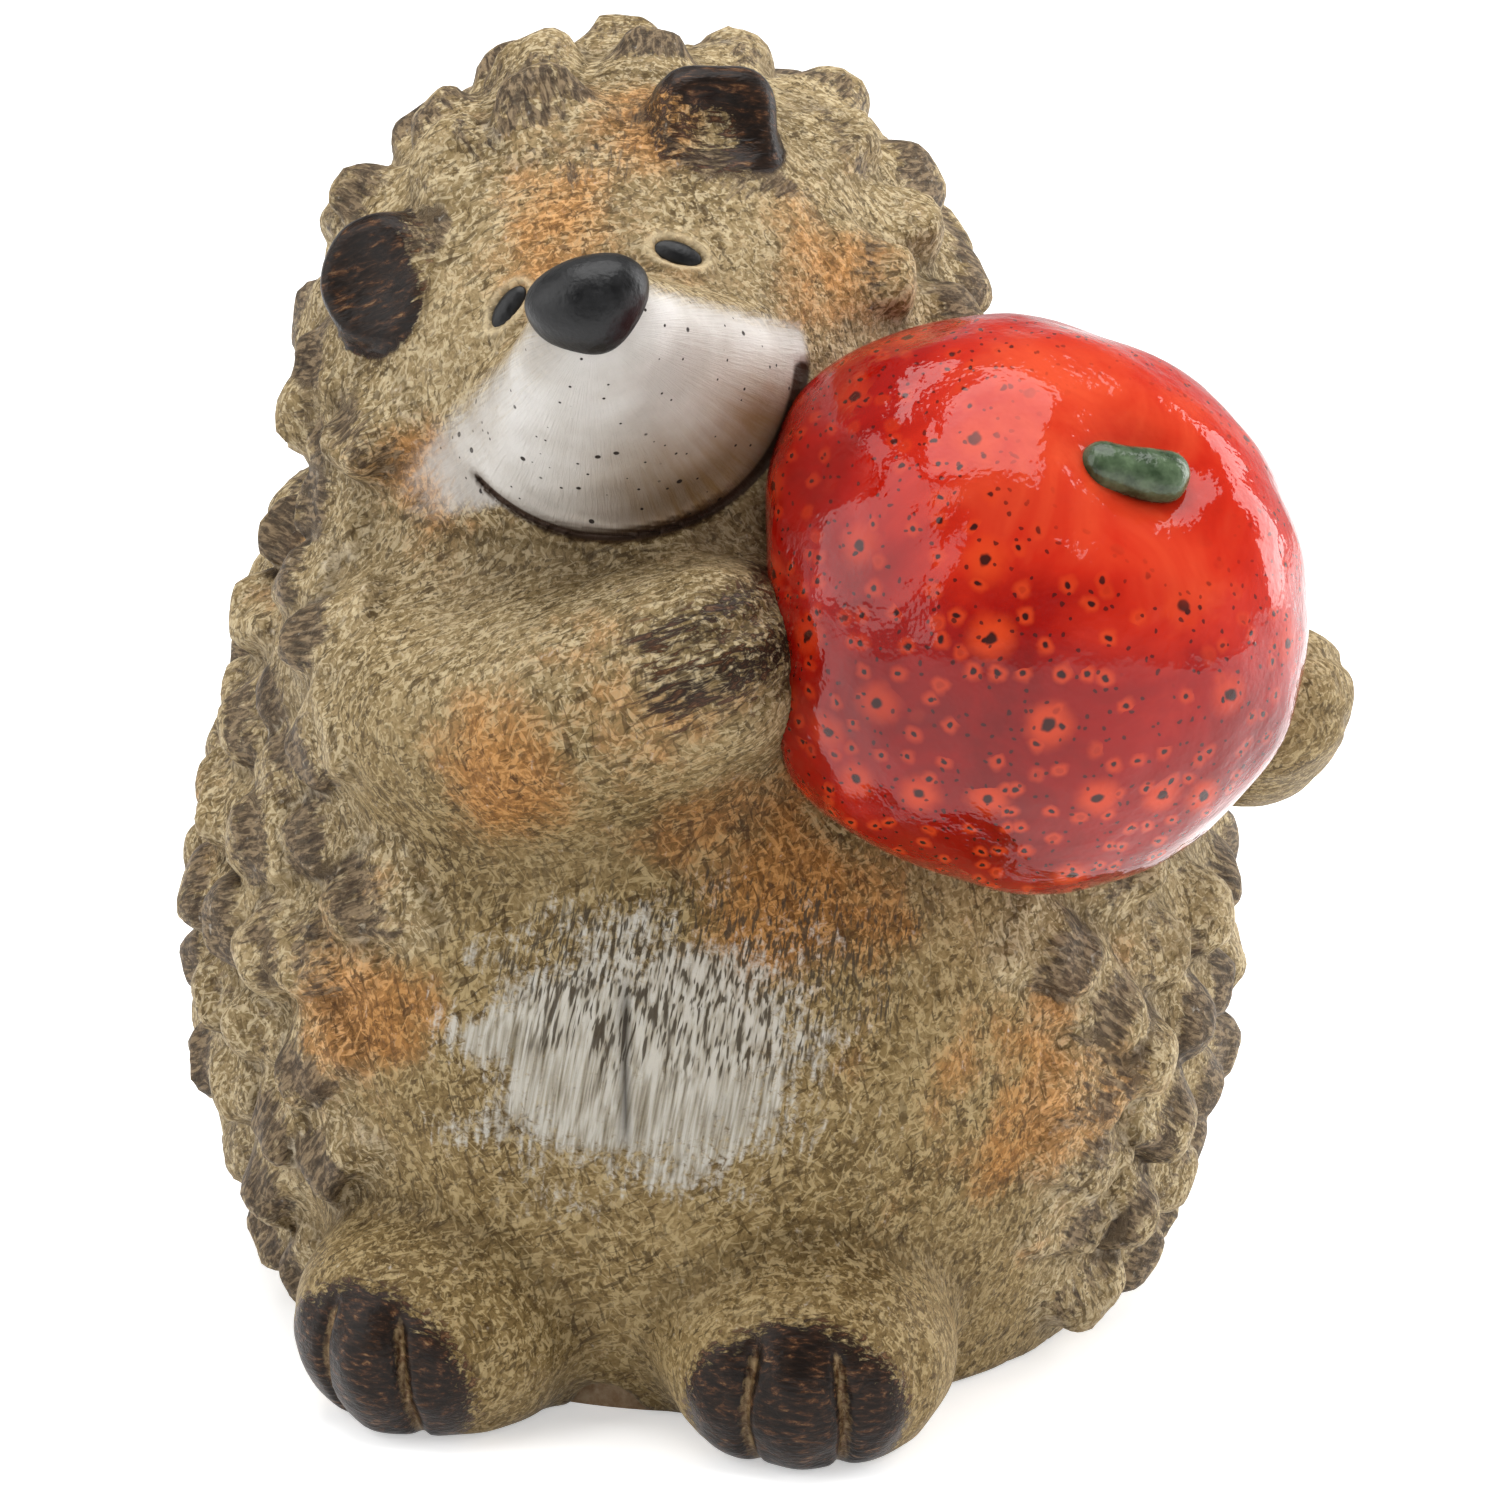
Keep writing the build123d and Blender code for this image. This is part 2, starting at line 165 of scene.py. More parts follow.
# Trunk: a turned outline, kept as a table of distances over radius and height

outline_points = [
    (base_radius, 0), (girth_radius, girth_height), (shoulder_radius, shoulder_height), (0, trunk_top_height)
]
outline = clamped_spline(outline_points, (base_radius, trunk_top_height), (-1, 0), 240, (1.1, 2.05))
table_step, table_low = 0.5, -20.0
table_r = np.arange(0, 125, table_step)
table_z = np.arange(table_low, 200, table_step)


def outline_table():
    skirt = np.array([outline[0] - (8.4, 20), outline[0] - (4.2, 10)])
    line = np.concatenate((skirt, outline))
    a, b = line[:-1], line[1:]
    grid = np.stack(np.meshgrid(table_r, table_z, indexing="ij"), -1).reshape(-1, 2)
    best = np.full(len(grid), 1e9)
    for i in range(len(a)):
        edge = b[i] - a[i]
        t = np.clip((grid - a[i]) @ edge / (edge @ edge), 0, 1)
        best = np.minimum(best, np.sum((grid - a[i] - t[:, None] * edge) ** 2, axis=1))
    inside = grid[:, 0] < np.interp(grid[:, 1], line[:, 1], line[:, 0], right=-1)
    return (np.sqrt(best) * np.where(inside, -1, 1)).reshape(len(table_r), len(table_z))


trunk_table = outline_table()
neck_fillet = 10.0


def trunk_distance(p):
    r = np.hypot(p[:, 0], p[:, 1]) / table_step
    z = (p[:, 2] - table_low) / table_step
    i = np.clip(r.astype(int), 0, len(table_r) - 2)
    j = np.clip(z.astype(int), 0, len(table_z) - 2)
    u, v = np.clip(r - i, 0, 1), np.clip(z - j, 0, 1)
    low = trunk_table[i, j] * (1 - v) + trunk_table[i, j + 1] * v
    high = trunk_table[i + 1, j] * (1 - v) + trunk_table[i + 1, j + 1] * v
    return low * (1 - u) + high * u


def base_distance(p):
    """Trunk and head with a soft neck."""
    return smin(trunk_distance(p), np.linalg.norm(p - head, axis=1) - head_radius, neck_fillet)


# Limbs


def route(shares, radii, count=14):
    """A smooth line with radii through the places of an arm."""
    places = np.array([girth_place(*share) for share in shares])
    line = clamped_spline(places, places[1] - places[0], places[-1] - places[-2], count)
    knots = np.linspace(0, 1, len(radii))
    return line, np.interp(np.linspace(0, 1, count), knots, radii)


arm_right_knots = (
    [(-50, 0.74, 0.96), (-31, 0.83, 0.93), (-9, 0.89, 0.96), (11, 0.93, 1.05)],
    [10.5, 13, 14, 12.5],
)
arm_left_knots = (
    [(102, 0.79, 0.88), (92, 0.97, 0.84), (81, 1.11, 0.85), (73, 1.205, 0.92)],
    [14, 12.5, 11.5, 10.5],
)
arm_right_fillet, arm_left_fillet = 13.0, 5.0
arm_right, arm_left = route(*arm_right_knots), route(*arm_left_knots)
claw_groove, claw_width = 0.7, 1.0


def paw_axes(line):
    along = unit(line[-1] - line[-2])
    across = unit(np.cross(along, (0, 0, 1)))
    return np.stack((across, np.cross(along, across), along))


def arm_distance(p, arm):
    line, radii = arm
    best = np.full(len(p), 1e9)
    for a, b, ra, rb in zip(line[:-1], line[1:], radii[:-1], radii[1:]):
        edge = b - a
        t = np.clip((p - a) @ edge / (edge @ edge), 0, 1)
        best = np.minimum(best, np.linalg.norm(p - a - t[:, None] * edge, axis=1) - ra - (rb - ra) * t)
    return best


def claw_lines(p, arm):
    """How much of a claw groove lies at each point."""
    line, radii = arm
    q = (p - line[-1]) @ paw_axes(line).T
    offset = radii[-1] * 0.36
    grooves = np.maximum(hump(q[:, 1] - offset, claw_width), hump(q[:, 1] + offset, claw_width))
    return grooves * ramp(q[:, 2], -6, 1)


foot_radii = np.array((19.5, 19.5, 16.5))
foot_height = 12.0
foot_seat_radius = base_radius + 0.33 * (girth_radius - base_radius)
toe_groove, toe_groove_width = 1.3, 0.95


def foot_middle(across, reach):
    return np.array((across, -np.sqrt(foot_seat_radius**2 - across**2) - reach, foot_height))


feet = {
    "foot_right": (foot_middle(-26.7, 1.5), direction(-24)),
    "foot_left": (foot_middle(23.3, 1.0), direction(3)),
}


def foot_local(p, name):
    middle, toes = feet[name]
    q = p - middle
    side = np.cross((0, 0, 1), toes)
    return np.stack((q @ toes, q @ side, q[:, 2]), -1)


def toe_lines(q):
    """How much of the two toe grooves lies at each point."""
    x, y, z = q.T
    angle, reach = np.arctan2(y, x), np.hypot(x, y)
    bend = np.radians(20 - 0.35 * z)
    sides = [hump(reach * np.sin(angle + way * bend), toe_groove_width) for way in (-1, 1)]
    return np.maximum(*sides) * ramp(x, 6, 11) * ramp(-z, -9, -4)


def foot_distance(p, name):
    q = foot_local(p, name)
    angle = np.arctan2(q[:, 1], q[:, 0])
    toes = ramp(q[:, 0], 7, 16) * ramp(-q[:, 2], -12, -2)
    swell = 0.45 * np.cos(angle * 9) * toes * (np.abs(angle) < np.radians(60))
    return ellipsoid(q, foot_radii) - swell + toe_groove * toe_lines(q)


# Face

muzzle_depths = np.array((33.0, 51.0, 66.0))
muzzle_half_width = np.polyfit(muzzle_depths, (24.0, 15.5, 7.5), 2)
muzzle_half_height = np.polyfit(muzzle_depths, (16.25, 11.5, 6.0), 2)
muzzle_lift = np.polyfit(muzzle_depths, (-9.5, -4.0, 1.5), 2)
mouth_radius, mouth_depth = 24.0, 1.0
muzzle_reach = 68.0


def muzzle_distance(p):
    x, y, depth = face_local(p).T
    z = np.clip(depth, 26, 70)
    a, b = np.polyval(muzzle_half_width, z), np.polyval(muzzle_half_height, z)
    y = y - np.polyval(muzzle_lift, z)
    k0 = np.sqrt((x / a) ** 2 + (y / b) ** 2)
    k1 = np.sqrt((x / a**2) ** 2 + (y / b**2) ** 2)
    side = 0.9 * k0 * (k0 - 1) / np.maximum(k1, 1e-6)
    return smax(side, depth - muzzle_reach, 5.0)


def mouth_line(q):
    """How much of the smile lies at each point of the face frame; it is pressed deeper on the left."""
    x, y, depth = q.T
    angle = np.degrees(np.arctan2(x, -y))
    reach = np.hypot(x, y)
    width = np.interp(angle, (-67, -40, 20, 70), (0.35, 0.45, 0.65, 1.1))
    ends = ramp(angle, -69, -64) * ramp(-angle, -72, -67)
    return hump(reach - mouth_radius, width) * ends * (depth > 10)


eye_lift, eye_across, eye_slant = 9.2, 11.3, 35.0
eye_radii = np.array((3.3, 1.75, 1.1))
nose_place, nose_radii = np.array((0.0, 3.2, 65.3)), np.array((7.9, 6.3, 6.5))


def eye_axes(side):
    place = np.array((side * eye_across, eye_lift, 0))
    place[2] = np.sqrt(head_radius**2 - place @ place)
    normal = unit(place)
    along = np.array((np.cos(np.radians(eye_slant)), -side * np.sin(np.radians(eye_slant)), 0))
    along = unit(along - normal * (along @ normal))
    local = np.stack((along, np.cross(normal, along), normal))
    return head + place @ face_axes, local @ face_axes


def eye_distance(p, side):
    place, axes = eye_axes(side)
    return ellipsoid((p - place) @ axes.T, eye_radii)


def nose_distance(p):
    q = face_local(p) - nose_place
    taper = 1 + 0.22 * np.clip((q[:, 1] - 0.5) / 6.5, -1.2, 0.8)
    q[:, 0] /= taper
    return ellipsoid(q, nose_radii) - 0.1 * wobble(p, 7, 14)


ear_places = {-1: (-0.609, 0.437, 0.655), 1: (0.46, 0.575, 0.667)}
ear_swing = 24.0


def ear_axes(side):
    place = head + head_radius * np.array(ear_places[side]) @ face_axes
    facing = spin(face_z, face_y, side * ear_swing)
    return place, np.stack((face_y, np.cross(facing, face_y), facing))


ear_reaches = {-1: 8.9, 1: 8.0}
ear_half_thickness, ear_edge = 4.2, 2.8
ear_dishes = {-1: ((0.2, 0.8, 14.8), 11.8), 1: ((-0.9, 0.9, 9.8), 7.7)}
ear_level = np.radians(15)


def ear_local(p, side):
    place, axes = ear_axes(side)
    q = (p - place) @ axes.T
    if side > 0:
        c, s = np.cos(ear_level), np.sin(ear_level)
        q = np.stack((c * q[:, 0] - s * q[:, 1], c * q[:, 1] + s * q[:, 0], q[:, 2]), -1)
    return q


def ear_distance(p, side):
    """A thick flap with a dish in its front; the left one is squarer and stands level."""
    q = ear_local(p, side)
    power = 2.0 if side < 0 else 3.4
    around = (np.abs(q[:, 0]) ** power + np.abs(q[:, 1]) ** power) ** (1 / power)
    reach = around - (ear_reaches[side] - ear_edge)
    thick = np.abs(q[:, 2]) - (ear_half_thickness - ear_edge)
    outer = np.hypot(np.maximum(reach, 0), np.maximum(thick, 0))
    flap = np.minimum(np.maximum(reach, thick), 0) + outer - ear_edge
    middle, radius = ear_dishes[side]
    return smax(flap, radius - np.linalg.norm(q - middle, axis=1), 1.6)


# Apple: an uneven ball with a dimple

# Swells and dents: angle as the viewer sees it, rise in millimetres, spread in degrees
apple_swells = [
    (134, 4.6, 26), (-140, 2.4, 24), (-80, 1.6, 30), (96, 1.6, 18),
    (20, -1.2, 30), (-158, -3.2, 8), (172, -1.4, 14),
]
apple_dimple_depth, apple_dimple_spread = 6.2, 0.34
view_right = np.array((0.985, 0.174, 0.0))
view_up = np.array((-0.054, 0.304, 0.951))


def apple_distance(p):
    q = p - apple_centre
    reach = np.linalg.norm(q, axis=1)
    out = q / np.maximum(reach, 1e-6)[:, None]
    radius = apple_radius + 0.35 * wobble(p, 15, 5) + 0.55 * wobble(p, 28, 6)
    for angle, rise, spread in apple_swells:
        a = np.radians(angle)
        middle = np.cos(a) * view_right + np.sin(a) * view_up
        off = np.degrees(np.arccos(np.clip(out @ middle, -1, 1)))
        radius += rise * hump(off, spread)
    from_core = np.arccos(np.clip(out @ apple_core, -1, 1))
    radius -= apple_dimple_depth * hump(from_core, apple_dimple_spread)
    return 0.94 * (reach - radius)


stem_lift, stem_turn = 31.4, -22.0
stem_half_length, stem_radius = 3.9, 3.3
stem_middle = apple_centre + apple_core * stem_lift
stem_along = spin(apple_x, apple_core, stem_turn)
stem_axes = np.stack((stem_along, np.cross(apple_core, stem_along), apple_core))


def stem_distance(p):
    x, y, z = ((p - stem_middle) @ stem_axes.T).T
    y = y - (0.018 * x**2 - 0.3)
    length = np.clip(x, -stem_half_length, stem_half_length)
    radius = stem_radius + 0.3 * np.sin(x * 0.45) + 0.12 * wobble(p, 5, 12)
    return np.hypot(x - length, np.hypot(y, z * 1.15)) - radius


# Quills: blunt tongues in staggered rows, each a little different

quill_pitch, quill_row, quill_gap = 14.0, 12.8, 6.8
comb = np.array((0, 1, -0.6))
quill_start, quill_room = 10.5, 8.9
ear_room = 8.8
quill_tilt = 39, 52
quill_halves = (6.6, 7.6), (5.6, 6.8), (4.4, 5.4)
lump_halves, lump_sink = np.array((8.0, 5.4, 3.7)), 1.3

# Low lumps where the coat fades out along the seams and on the shoulder: turn and height
low_lumps = [
    (-58, 136), (-57, 127), (-55, 117), (-55, 108), (-42, 104), (-53, 94), (-50, 84), (-40, 90), (-41, 77),
    (-32, 71), (-39, 62), (-40, 47), (-38, 34), (52, 64), (58, 55), (57, 44), (58, 34), (59, 23),
]


def bare(p):
    """Trunk, head and arms without their carving."""
    whole = smin(base_distance(p), arm_distance(p, arm_right), arm_right_fillet)
    return smin(whole, arm_distance(p, arm_left), arm_left_fillet)


def skin_point(turn, height):
    """The outermost point of the bare clay at a turn about the axis and a height, and the way out of it."""
    line = direction(turn) * np.arange(20, 95, 0.25)[:, None] + (0, 0, height)
    point = line[np.flatnonzero(bare(line) < 0)[-1]]
    steps = np.eye(3) * 0.5
    return point, unit(bare(point + steps) - bare(point - steps))


def quill_spots():
    """Points on the skin with the way out of the clay, as in the CAD."""
    spots = []
    first = np.arcsin((face_radius + quill_gap) / head_radius)
    for ring in range(int((np.pi - first) / (quill_row / head_radius))):
        polar = first + ring * quill_row / head_radius
        count = round(2 * np.pi * head_radius * np.sin(polar) / quill_pitch)
        for i in range(count):
            turn = 2 * np.pi * (i + ring % 2 / 2) / count
            local = np.array((np.cos(turn) * np.sin(polar), np.sin(turn) * np.sin(polar), np.cos(polar)))
            spots.append((head + head_radius * local @ face_axes, local @ face_axes))
    lengths = np.concatenate(([0], np.cumsum(np.linalg.norm(np.diff(outline, axis=0), axis=1))))
    for row in range(int((lengths[-1] - quill_start) / quill_row)):
        along = quill_start + row * quill_row
        r, z = (np.interp(along, lengths, outline[:, k]) for k in (0, 1))
        r1, z1 = (np.interp(along + 0.5, lengths, outline[:, k]) for k in (0, 1))
        count = round(2 * np.pi * r / quill_pitch)
        for i in range(count):
            out = direction(360 * (i + row % 2 / 2) / count)
            spots.append((out * r + (0, 0, z), unit(out * (z1 - z) - np.array((0, 0, r1 - r)))))
    return spots


def make_quills():
    blocks = [(apple_centre, apple_radius)]
    for shares, radii in (arm_right_knots, arm_left_knots):
        blocks += [(girth_place(*share), radius) for share, radius in zip(shares, radii)]
    blocks += [(ear_axes(side)[0], ear_room) for side in (-1, 1)]
    blocks += [(middle, foot_radii[0]) for middle, _ in feet.values()]
    kept = []
    for point, normal in quill_spots():
        turn = np.degrees(np.arctan2(point[0], -point[1]))
        gap = np.degrees(quill_gap / max(np.hypot(point[0], point[1]), 1))
        seen = face_local(point)
        if seen[2] > 0 and np.hypot(seen[0], seen[1]) < face_radius + quill_gap / 2:
            continue
        if seam_right - gap < turn < seam_left + gap and point[2] < chin_height + quill_gap:
            continue
        outer = (point + normal)[None]
        if min(trunk_distance(outer)[0], np.linalg.norm(outer - head) - head_radius) < 0:
            continue
        if any(np.linalg.norm(point - middle) < radius + quill_room for middle, radius in blocks):
            continue
        if any(np.linalg.norm(point - other[0]) < 0.9 * quill_pitch for other in kept):
            continue
        kept.append((point, normal))
    quills = []
    for number, (point, normal) in enumerate(kept):
        lean = unit(comb - normal * (comb @ normal))
        lean = spin(lean, normal, 14.0 * np.sin(2.4 * number) + rng.uniform(-9, 9))
        tilt = np.radians(rng.uniform(*quill_tilt))
        along = normal * np.cos(tilt) + lean * np.sin(tilt)
        across = spin(unit(np.cross(along, normal)), along, rng.uniform(-16, 16))
        size = rng.uniform(0.88, 1.12)
        half = np.array([rng.uniform(*span) for span in quill_halves]) * size
        shift = rng.uniform(-0.7, 0.7) * across + rng.uniform(-0.7, 0.7) * lean
        middle = point + shift + along * rng.uniform(-1.6, -0.7)
        axes = np.stack((along, across, np.cross(along, across)))
        quills.append((middle, axes, half, rng.uniform(0, 100, 3), rng.uniform(0, 1)))
    for turn, height in low_lumps:
        point, normal = skin_point(turn, height)
        lean = spin(unit(comb - normal * (comb @ normal)), normal, rng.uniform(-14, 14))
        along = unit(normal * 0.38 + lean)
        across = unit(np.cross(along, normal))
        middle = point - lump_sink * normal
        half = lump_halves * rng.uniform(0.9, 1.1)
        axes = np.stack((along, across, np.cross(along, across)))
        quills.append((middle, axes, half, rng.uniform(0, 100, 3), rng.uniform(0.4, 1)))
    return quills


quills = make_quills()


def worn_block(q, half):
    """Distance to a block that tapers along its first axis and has well rounded edges."""
    edge = 0.6 * half[2]
    taper = 0.93 - 0.29 * np.clip(q[:, 0] / half[0], -1, 1)
    x, y, z = np.abs(q).T
    x = x - (half[0] - edge)
    y = y - (half[1] * taper - edge * 0.9)
    z = z - (half[2] * taper - edge * 0.9)
    outer = np.sqrt(np.maximum(x, 0) ** 2 + np.maximum(y, 0) ** 2 + np.maximum(z, 0) ** 2)
    return outer + np.minimum(np.maximum(x, np.maximum(y, z)), 0) - edge


def quill_distance(p):
    best = np.full(len(p), far)
    p = p + 0.7 * np.stack([wobble(p, 9, seed) for seed in (31, 32, 33)], -1)
    for middle, axes, half, _, _ in quills:
        near = within(p, middle, half[0] + 9)
        if len(near):
            best[near] = smin(best[near], worn_block((p[near] - middle) @ axes.T, half), 1.3)
    return best


# The clay as a whole

# A middle for each limb, how far from it the limb is worked out, its form and the fillet at its root
limbs = {
    "muzzle": (head + 48 * face_z, 46, muzzle_distance, 5.0),
    "ear_right": (ear_axes(-1)[0], 24, lambda p: ear_distance(p, -1), 2.2),
    "ear_left": (ear_axes(1)[0], 24, lambda p: ear_distance(p, 1), 2.2),
    "arm_right": (arm_right[0].mean(axis=0), 70, lambda p: arm_distance(p, arm_right), arm_right_fillet),
    "arm_left": (arm_left[0].mean(axis=0), 56, lambda p: arm_distance(p, arm_left), arm_left_fillet),
    "foot_right": (feet["foot_right"][0], 36, lambda p: foot_distance(p, "foot_right"), 5.0),
    "foot_left": (feet["foot_left"][0], 36, lambda p: foot_distance(p, "foot_left"), 5.0),
}
coat_fillet = 2.4
eyelid_rise, eyelid_gap, eyelid_width = 0.7, 0.9, 0.8
arch_radius, arch_sideways, arch_depth, arch_edge = 4.5, -4.5, 30.0, 1.5
seam_sink, seam_run = 0.3, 1.2
slab_clearance, paw_clearance, apple_bed = 0.15, 0.3, 0.6
face_back = 4.0


def clay(p):
    """Distances to the base form, the coat and each limb, and to the whole skin with its carving."""
    d = {"base": base_distance(p), "coat": quill_distance(p)}
    for name, (middle, reach, shape, _) in limbs.items():
        d[name] = np.full(len(p), far)
        near = within(p, middle, reach)
        if len(near):
            d[name][near] = shape(p[near])
    skin = d["base"]
    for name, (_, _, _, fillet) in limbs.items():
        skin = smin(skin, d[name], fillet)
    skin = smin(skin, d["coat"], coat_fillet)
    q = face_local(p)
    skin = skin + mouth_depth * mouth_line(q) * (np.abs(d["base"]) < 12)
    for arm, name in ((arm_right, "arm_right"), (arm_left, "arm_left")):
        skin = skin + claw_groove * claw_lines(p, arm) * (d[name] < 3)
    for side in (-1, 1):
        skin = skin - eyelid_rise * hump(eye_distance(p, side) - eyelid_gap, eyelid_width)
    skin = skin + 0.4 * wobble(p, 26, 1) + 0.16 * wobble(p, 7, 2)
    arch = np.hypot(p[:, 0] - arch_sideways, p[:, 2]) - arch_radius
    skin = smax(skin, -np.maximum(arch, p[:, 1] + arch_depth), arch_edge)
    d["skin"] = smax(skin, -p[:, 2], 2.0)
    return d


def parted(d, p, name):
    """How far each point is outside a node's share of the clay."""
    if name in limbs:
        others = [d[other] for other in ("base", "coat", *limbs) if other != name]
        return (d[name] - np.min(others, axis=0)) / 2
    limb = np.min([d[other] for other in limbs], axis=0)
    share = (np.minimum(d["base"], d["coat"]) - limb) / 2
    q = face_local(p)
    in_face = np.maximum(np.hypot(q[:, 0], q[:, 1]) - face_radius, face_back - q[:, 2])
    reach = np.hypot(p[:, 0], p[:, 1])
    turn = np.arctan2(p[:, 0], -p[:, 1])
    to_right = reach * np.sin(np.clip(np.radians(seam_right) - turn, -1.5, 1.5))
    to_left = reach * np.sin(np.clip(turn - np.radians(seam_left), -1.5, 1.5))
    in_belly = np.maximum(np.maximum(to_right, to_left), p[:, 2] - chin_height)
    if name == "face_shell":
        region = in_face
    elif name == "belly_shell":
        region = np.maximum(in_belly, -in_face)
    else:
        region = np.maximum(-in_belly, -in_face)
    return np.maximum(share, region)


def clay_field(name):
    """The node's piece of the clay. It runs on a little under its neighbours, so that the seams close."""

    def field(p):
        d = clay(p)
        outside = parted(d, p, name)
        body = d["skin"] + seam_sink * np.maximum(outside, 0)
        body = np.maximum(body, outside - seam_run)
        body = np.maximum(body, -(d["base"] + wall))
        if name.startswith("arm"):
            body = np.maximum(body, -(apple_distance(p) + paw_clearance))
        slab = np.maximum(np.hypot(p[:, 0], p[:, 1]) - slab_radius, p[:, 2] - slab_thickness)
        return np.maximum(body, slab_clearance - slab), d["skin"]

    return field


def plain_field(shape):
    def field(p):
        d = shape(p)
        return d, d

    return field


def apple_cut(p):
    return np.maximum(apple_distance(p), -(base_distance(p) + apple_bed))


# Meshes from fields: one vertex in each cell that the skin crosses


def grid_points(shape):
    return np.stack(np.meshgrid(*[np.arange(n) for n in shape], indexing="ij"), -1).reshape(-1, 3)


corner_steps = grid_points((2, 2, 2))
cell_edges = [(a, a + step) for a in range(8) for step in (1, 2, 4) if not a & step]
block = 4


def net(field, low, high, step):
    """Vertices, quads and outward normals of the field's zero surface in a box."""
    low = np.asarray(low, float)
    blocks = np.ceil((np.asarray(high) - low) / (step * block)).astype(int) + 1
    shape = blocks * block
    index = grid_points(blocks)
    middle, _ = field(low + (index * block + (block - 1) / 2) * step)
    value = np.repeat(np.repeat(np.repeat(middle.reshape(blocks), block, 0), block, 1), block, 2)
    skin = value.copy()
    index = index[np.abs(middle) < block * step * 1.5 + 1.0]
    nodes = (index[:, None, :] * block + grid_points([block] * 3)).reshape(-1, 3)
    at = tuple(nodes.T)
    value[at], skin[at] = field(low + nodes * step)
    inside = value < 0
    count = sum(
        inside[i : shape[0] - 1 + i, j : shape[1] - 1 + j, k : shape[2] - 1 + k].astype(np.int8)
        for i, j, k in corner_steps
    )
    cells = np.argwhere((count > 0) & (count < 8))
    corners = cells[:, None, :] + corner_steps
    at = tuple(np.moveaxis(corners, -1, 0))
    v, s = value[at], skin[at]
    total, hits = np.zeros((len(cells), 3)), np.zeros(len(cells))
    for a, b in cell_edges:
        cross = (v[:, a] < 0) != (v[:, b] < 0)
        t = np.where(cross, v[:, a] / np.where(cross, v[:, a] - v[:, b], 1), 0)
        spot = corner_steps[a] + t[:, None] * (corner_steps[b] - corner_steps[a])
        total += np.where(cross[:, None], spot, 0)
        hits += cross
    spot = total / hits[:, None]
    on_skin = np.abs(s.mean(axis=1)) < 0.75 * step
    source = np.where(on_skin[:, None], s, v)
    normal = source @ (2 * corner_steps - 1)
    normal /= np.maximum(np.linalg.norm(normal, axis=1), 1e-9)[:, None]
    ids = np.full(shape - 1, -1, np.int32)
    ids[tuple(cells.T)] = np.arange(len(cells))
    quads = []
    for axis in range(3):
        u, w = (axis + 1) % 3, (axis + 2) % 3
        edge = np.argwhere(np.diff(inside, axis=axis))
        held = np.all((edge[:, (u, w)] > 0) & (edge[:, (u, w)] < shape[[u, w]] - 1), axis=1)
        edge = edge[held]
        ring = []
        for du, dw in ((-1, -1), (0, -1), (0, 0), (-1, 0)):
            cell = edge.copy()
            cell[:, u] += du
            cell[:, w] += dw
            ring.append(ids[tuple(cell.T)])
        ring = np.stack(ring, -1)
        out = inside[tuple(edge.T)]
        quads.append(np.where(out[:, None], ring, ring[:, ::-1]))
    quads = np.concatenate(quads)
    return low + (cells + spot) * step, quads, normal


def main_island(vertices, quads, normals):
    """Drops crumbs that aren't joined to the largest pieces of the surface."""
    label = np.arange(len(vertices))
    pairs = np.concatenate((quads[:, (0, 1)], quads[:, (1, 2)], quads[:, (2, 3)]))
    while True:
        before = label.copy()
        lowest = np.minimum(label[pairs[:, 0]], label[pairs[:, 1]])
        np.minimum.at(label, pairs[:, 0], lowest)
        np.minimum.at(label, pairs[:, 1], lowest)
        label = label[label]
        if np.array_equal(before, label):
            break
    counts = np.bincount(label, minlength=len(vertices))
    keep = counts[label] > 0.1 * len(vertices)
    renumber = np.cumsum(keep) - 1
    quads = renumber[quads[keep[quads[:, 0]]]]
    return vertices[keep], quads, normals[keep]


# Paint: where stains, slips and strokes lie on the clay

# Places in millimetres with a size and a strength
rust_spots = [
    ((-12, -40, 159), 12, 0.75), ((21.9, -30, 152), 11, 0.65), ((-30, -45, 125), 9, 0.8),
    ((-14.6, -72, 95), 10, 0.95), ((21.5, -64, 78), 15, 1.0), ((-37, -58, 57), 12, 0.9),
    ((52, -46, 44), 15, 0.7), ((-50, -22, 107), 9, 0.6), ((4, -66, 104), 13, 0.6), ((-4, -28, 172), 10, 0.8),
    ((-62, -20, 66), 9, 0.6), ((50, 30, 60), 14, 0.6), ((-45, 45, 70), 14, 0.6), ((10, 68, 95), 14, 0.6),
    ((-10, 34, 160), 12, 0.6), ((-66, 12, 40), 12, 0.5),
]


shade_reach, edge_reach = 2.4, 1.8
limb_skin = 2.5


def lay(paint, layer, amount):
    """Lays more on a layer of paint; the stronger coat shows."""
    paint[layer] = np.maximum(paint[layer], amount)


def steer(paint, where, flow):
    """Makes the brush run another way on some of the clay."""
    paint["flow"] = np.where(where[:, None], flow, paint["flow"])


def rust_paint(p, paint):
    uneven = 1 + 0.4 * wobble(p, 16, 25)
    for middle, size, amount in rust_spots:
        lay(paint, "rust", amount * hump(np.linalg.norm(p - middle, axis=1) * uneven, size))


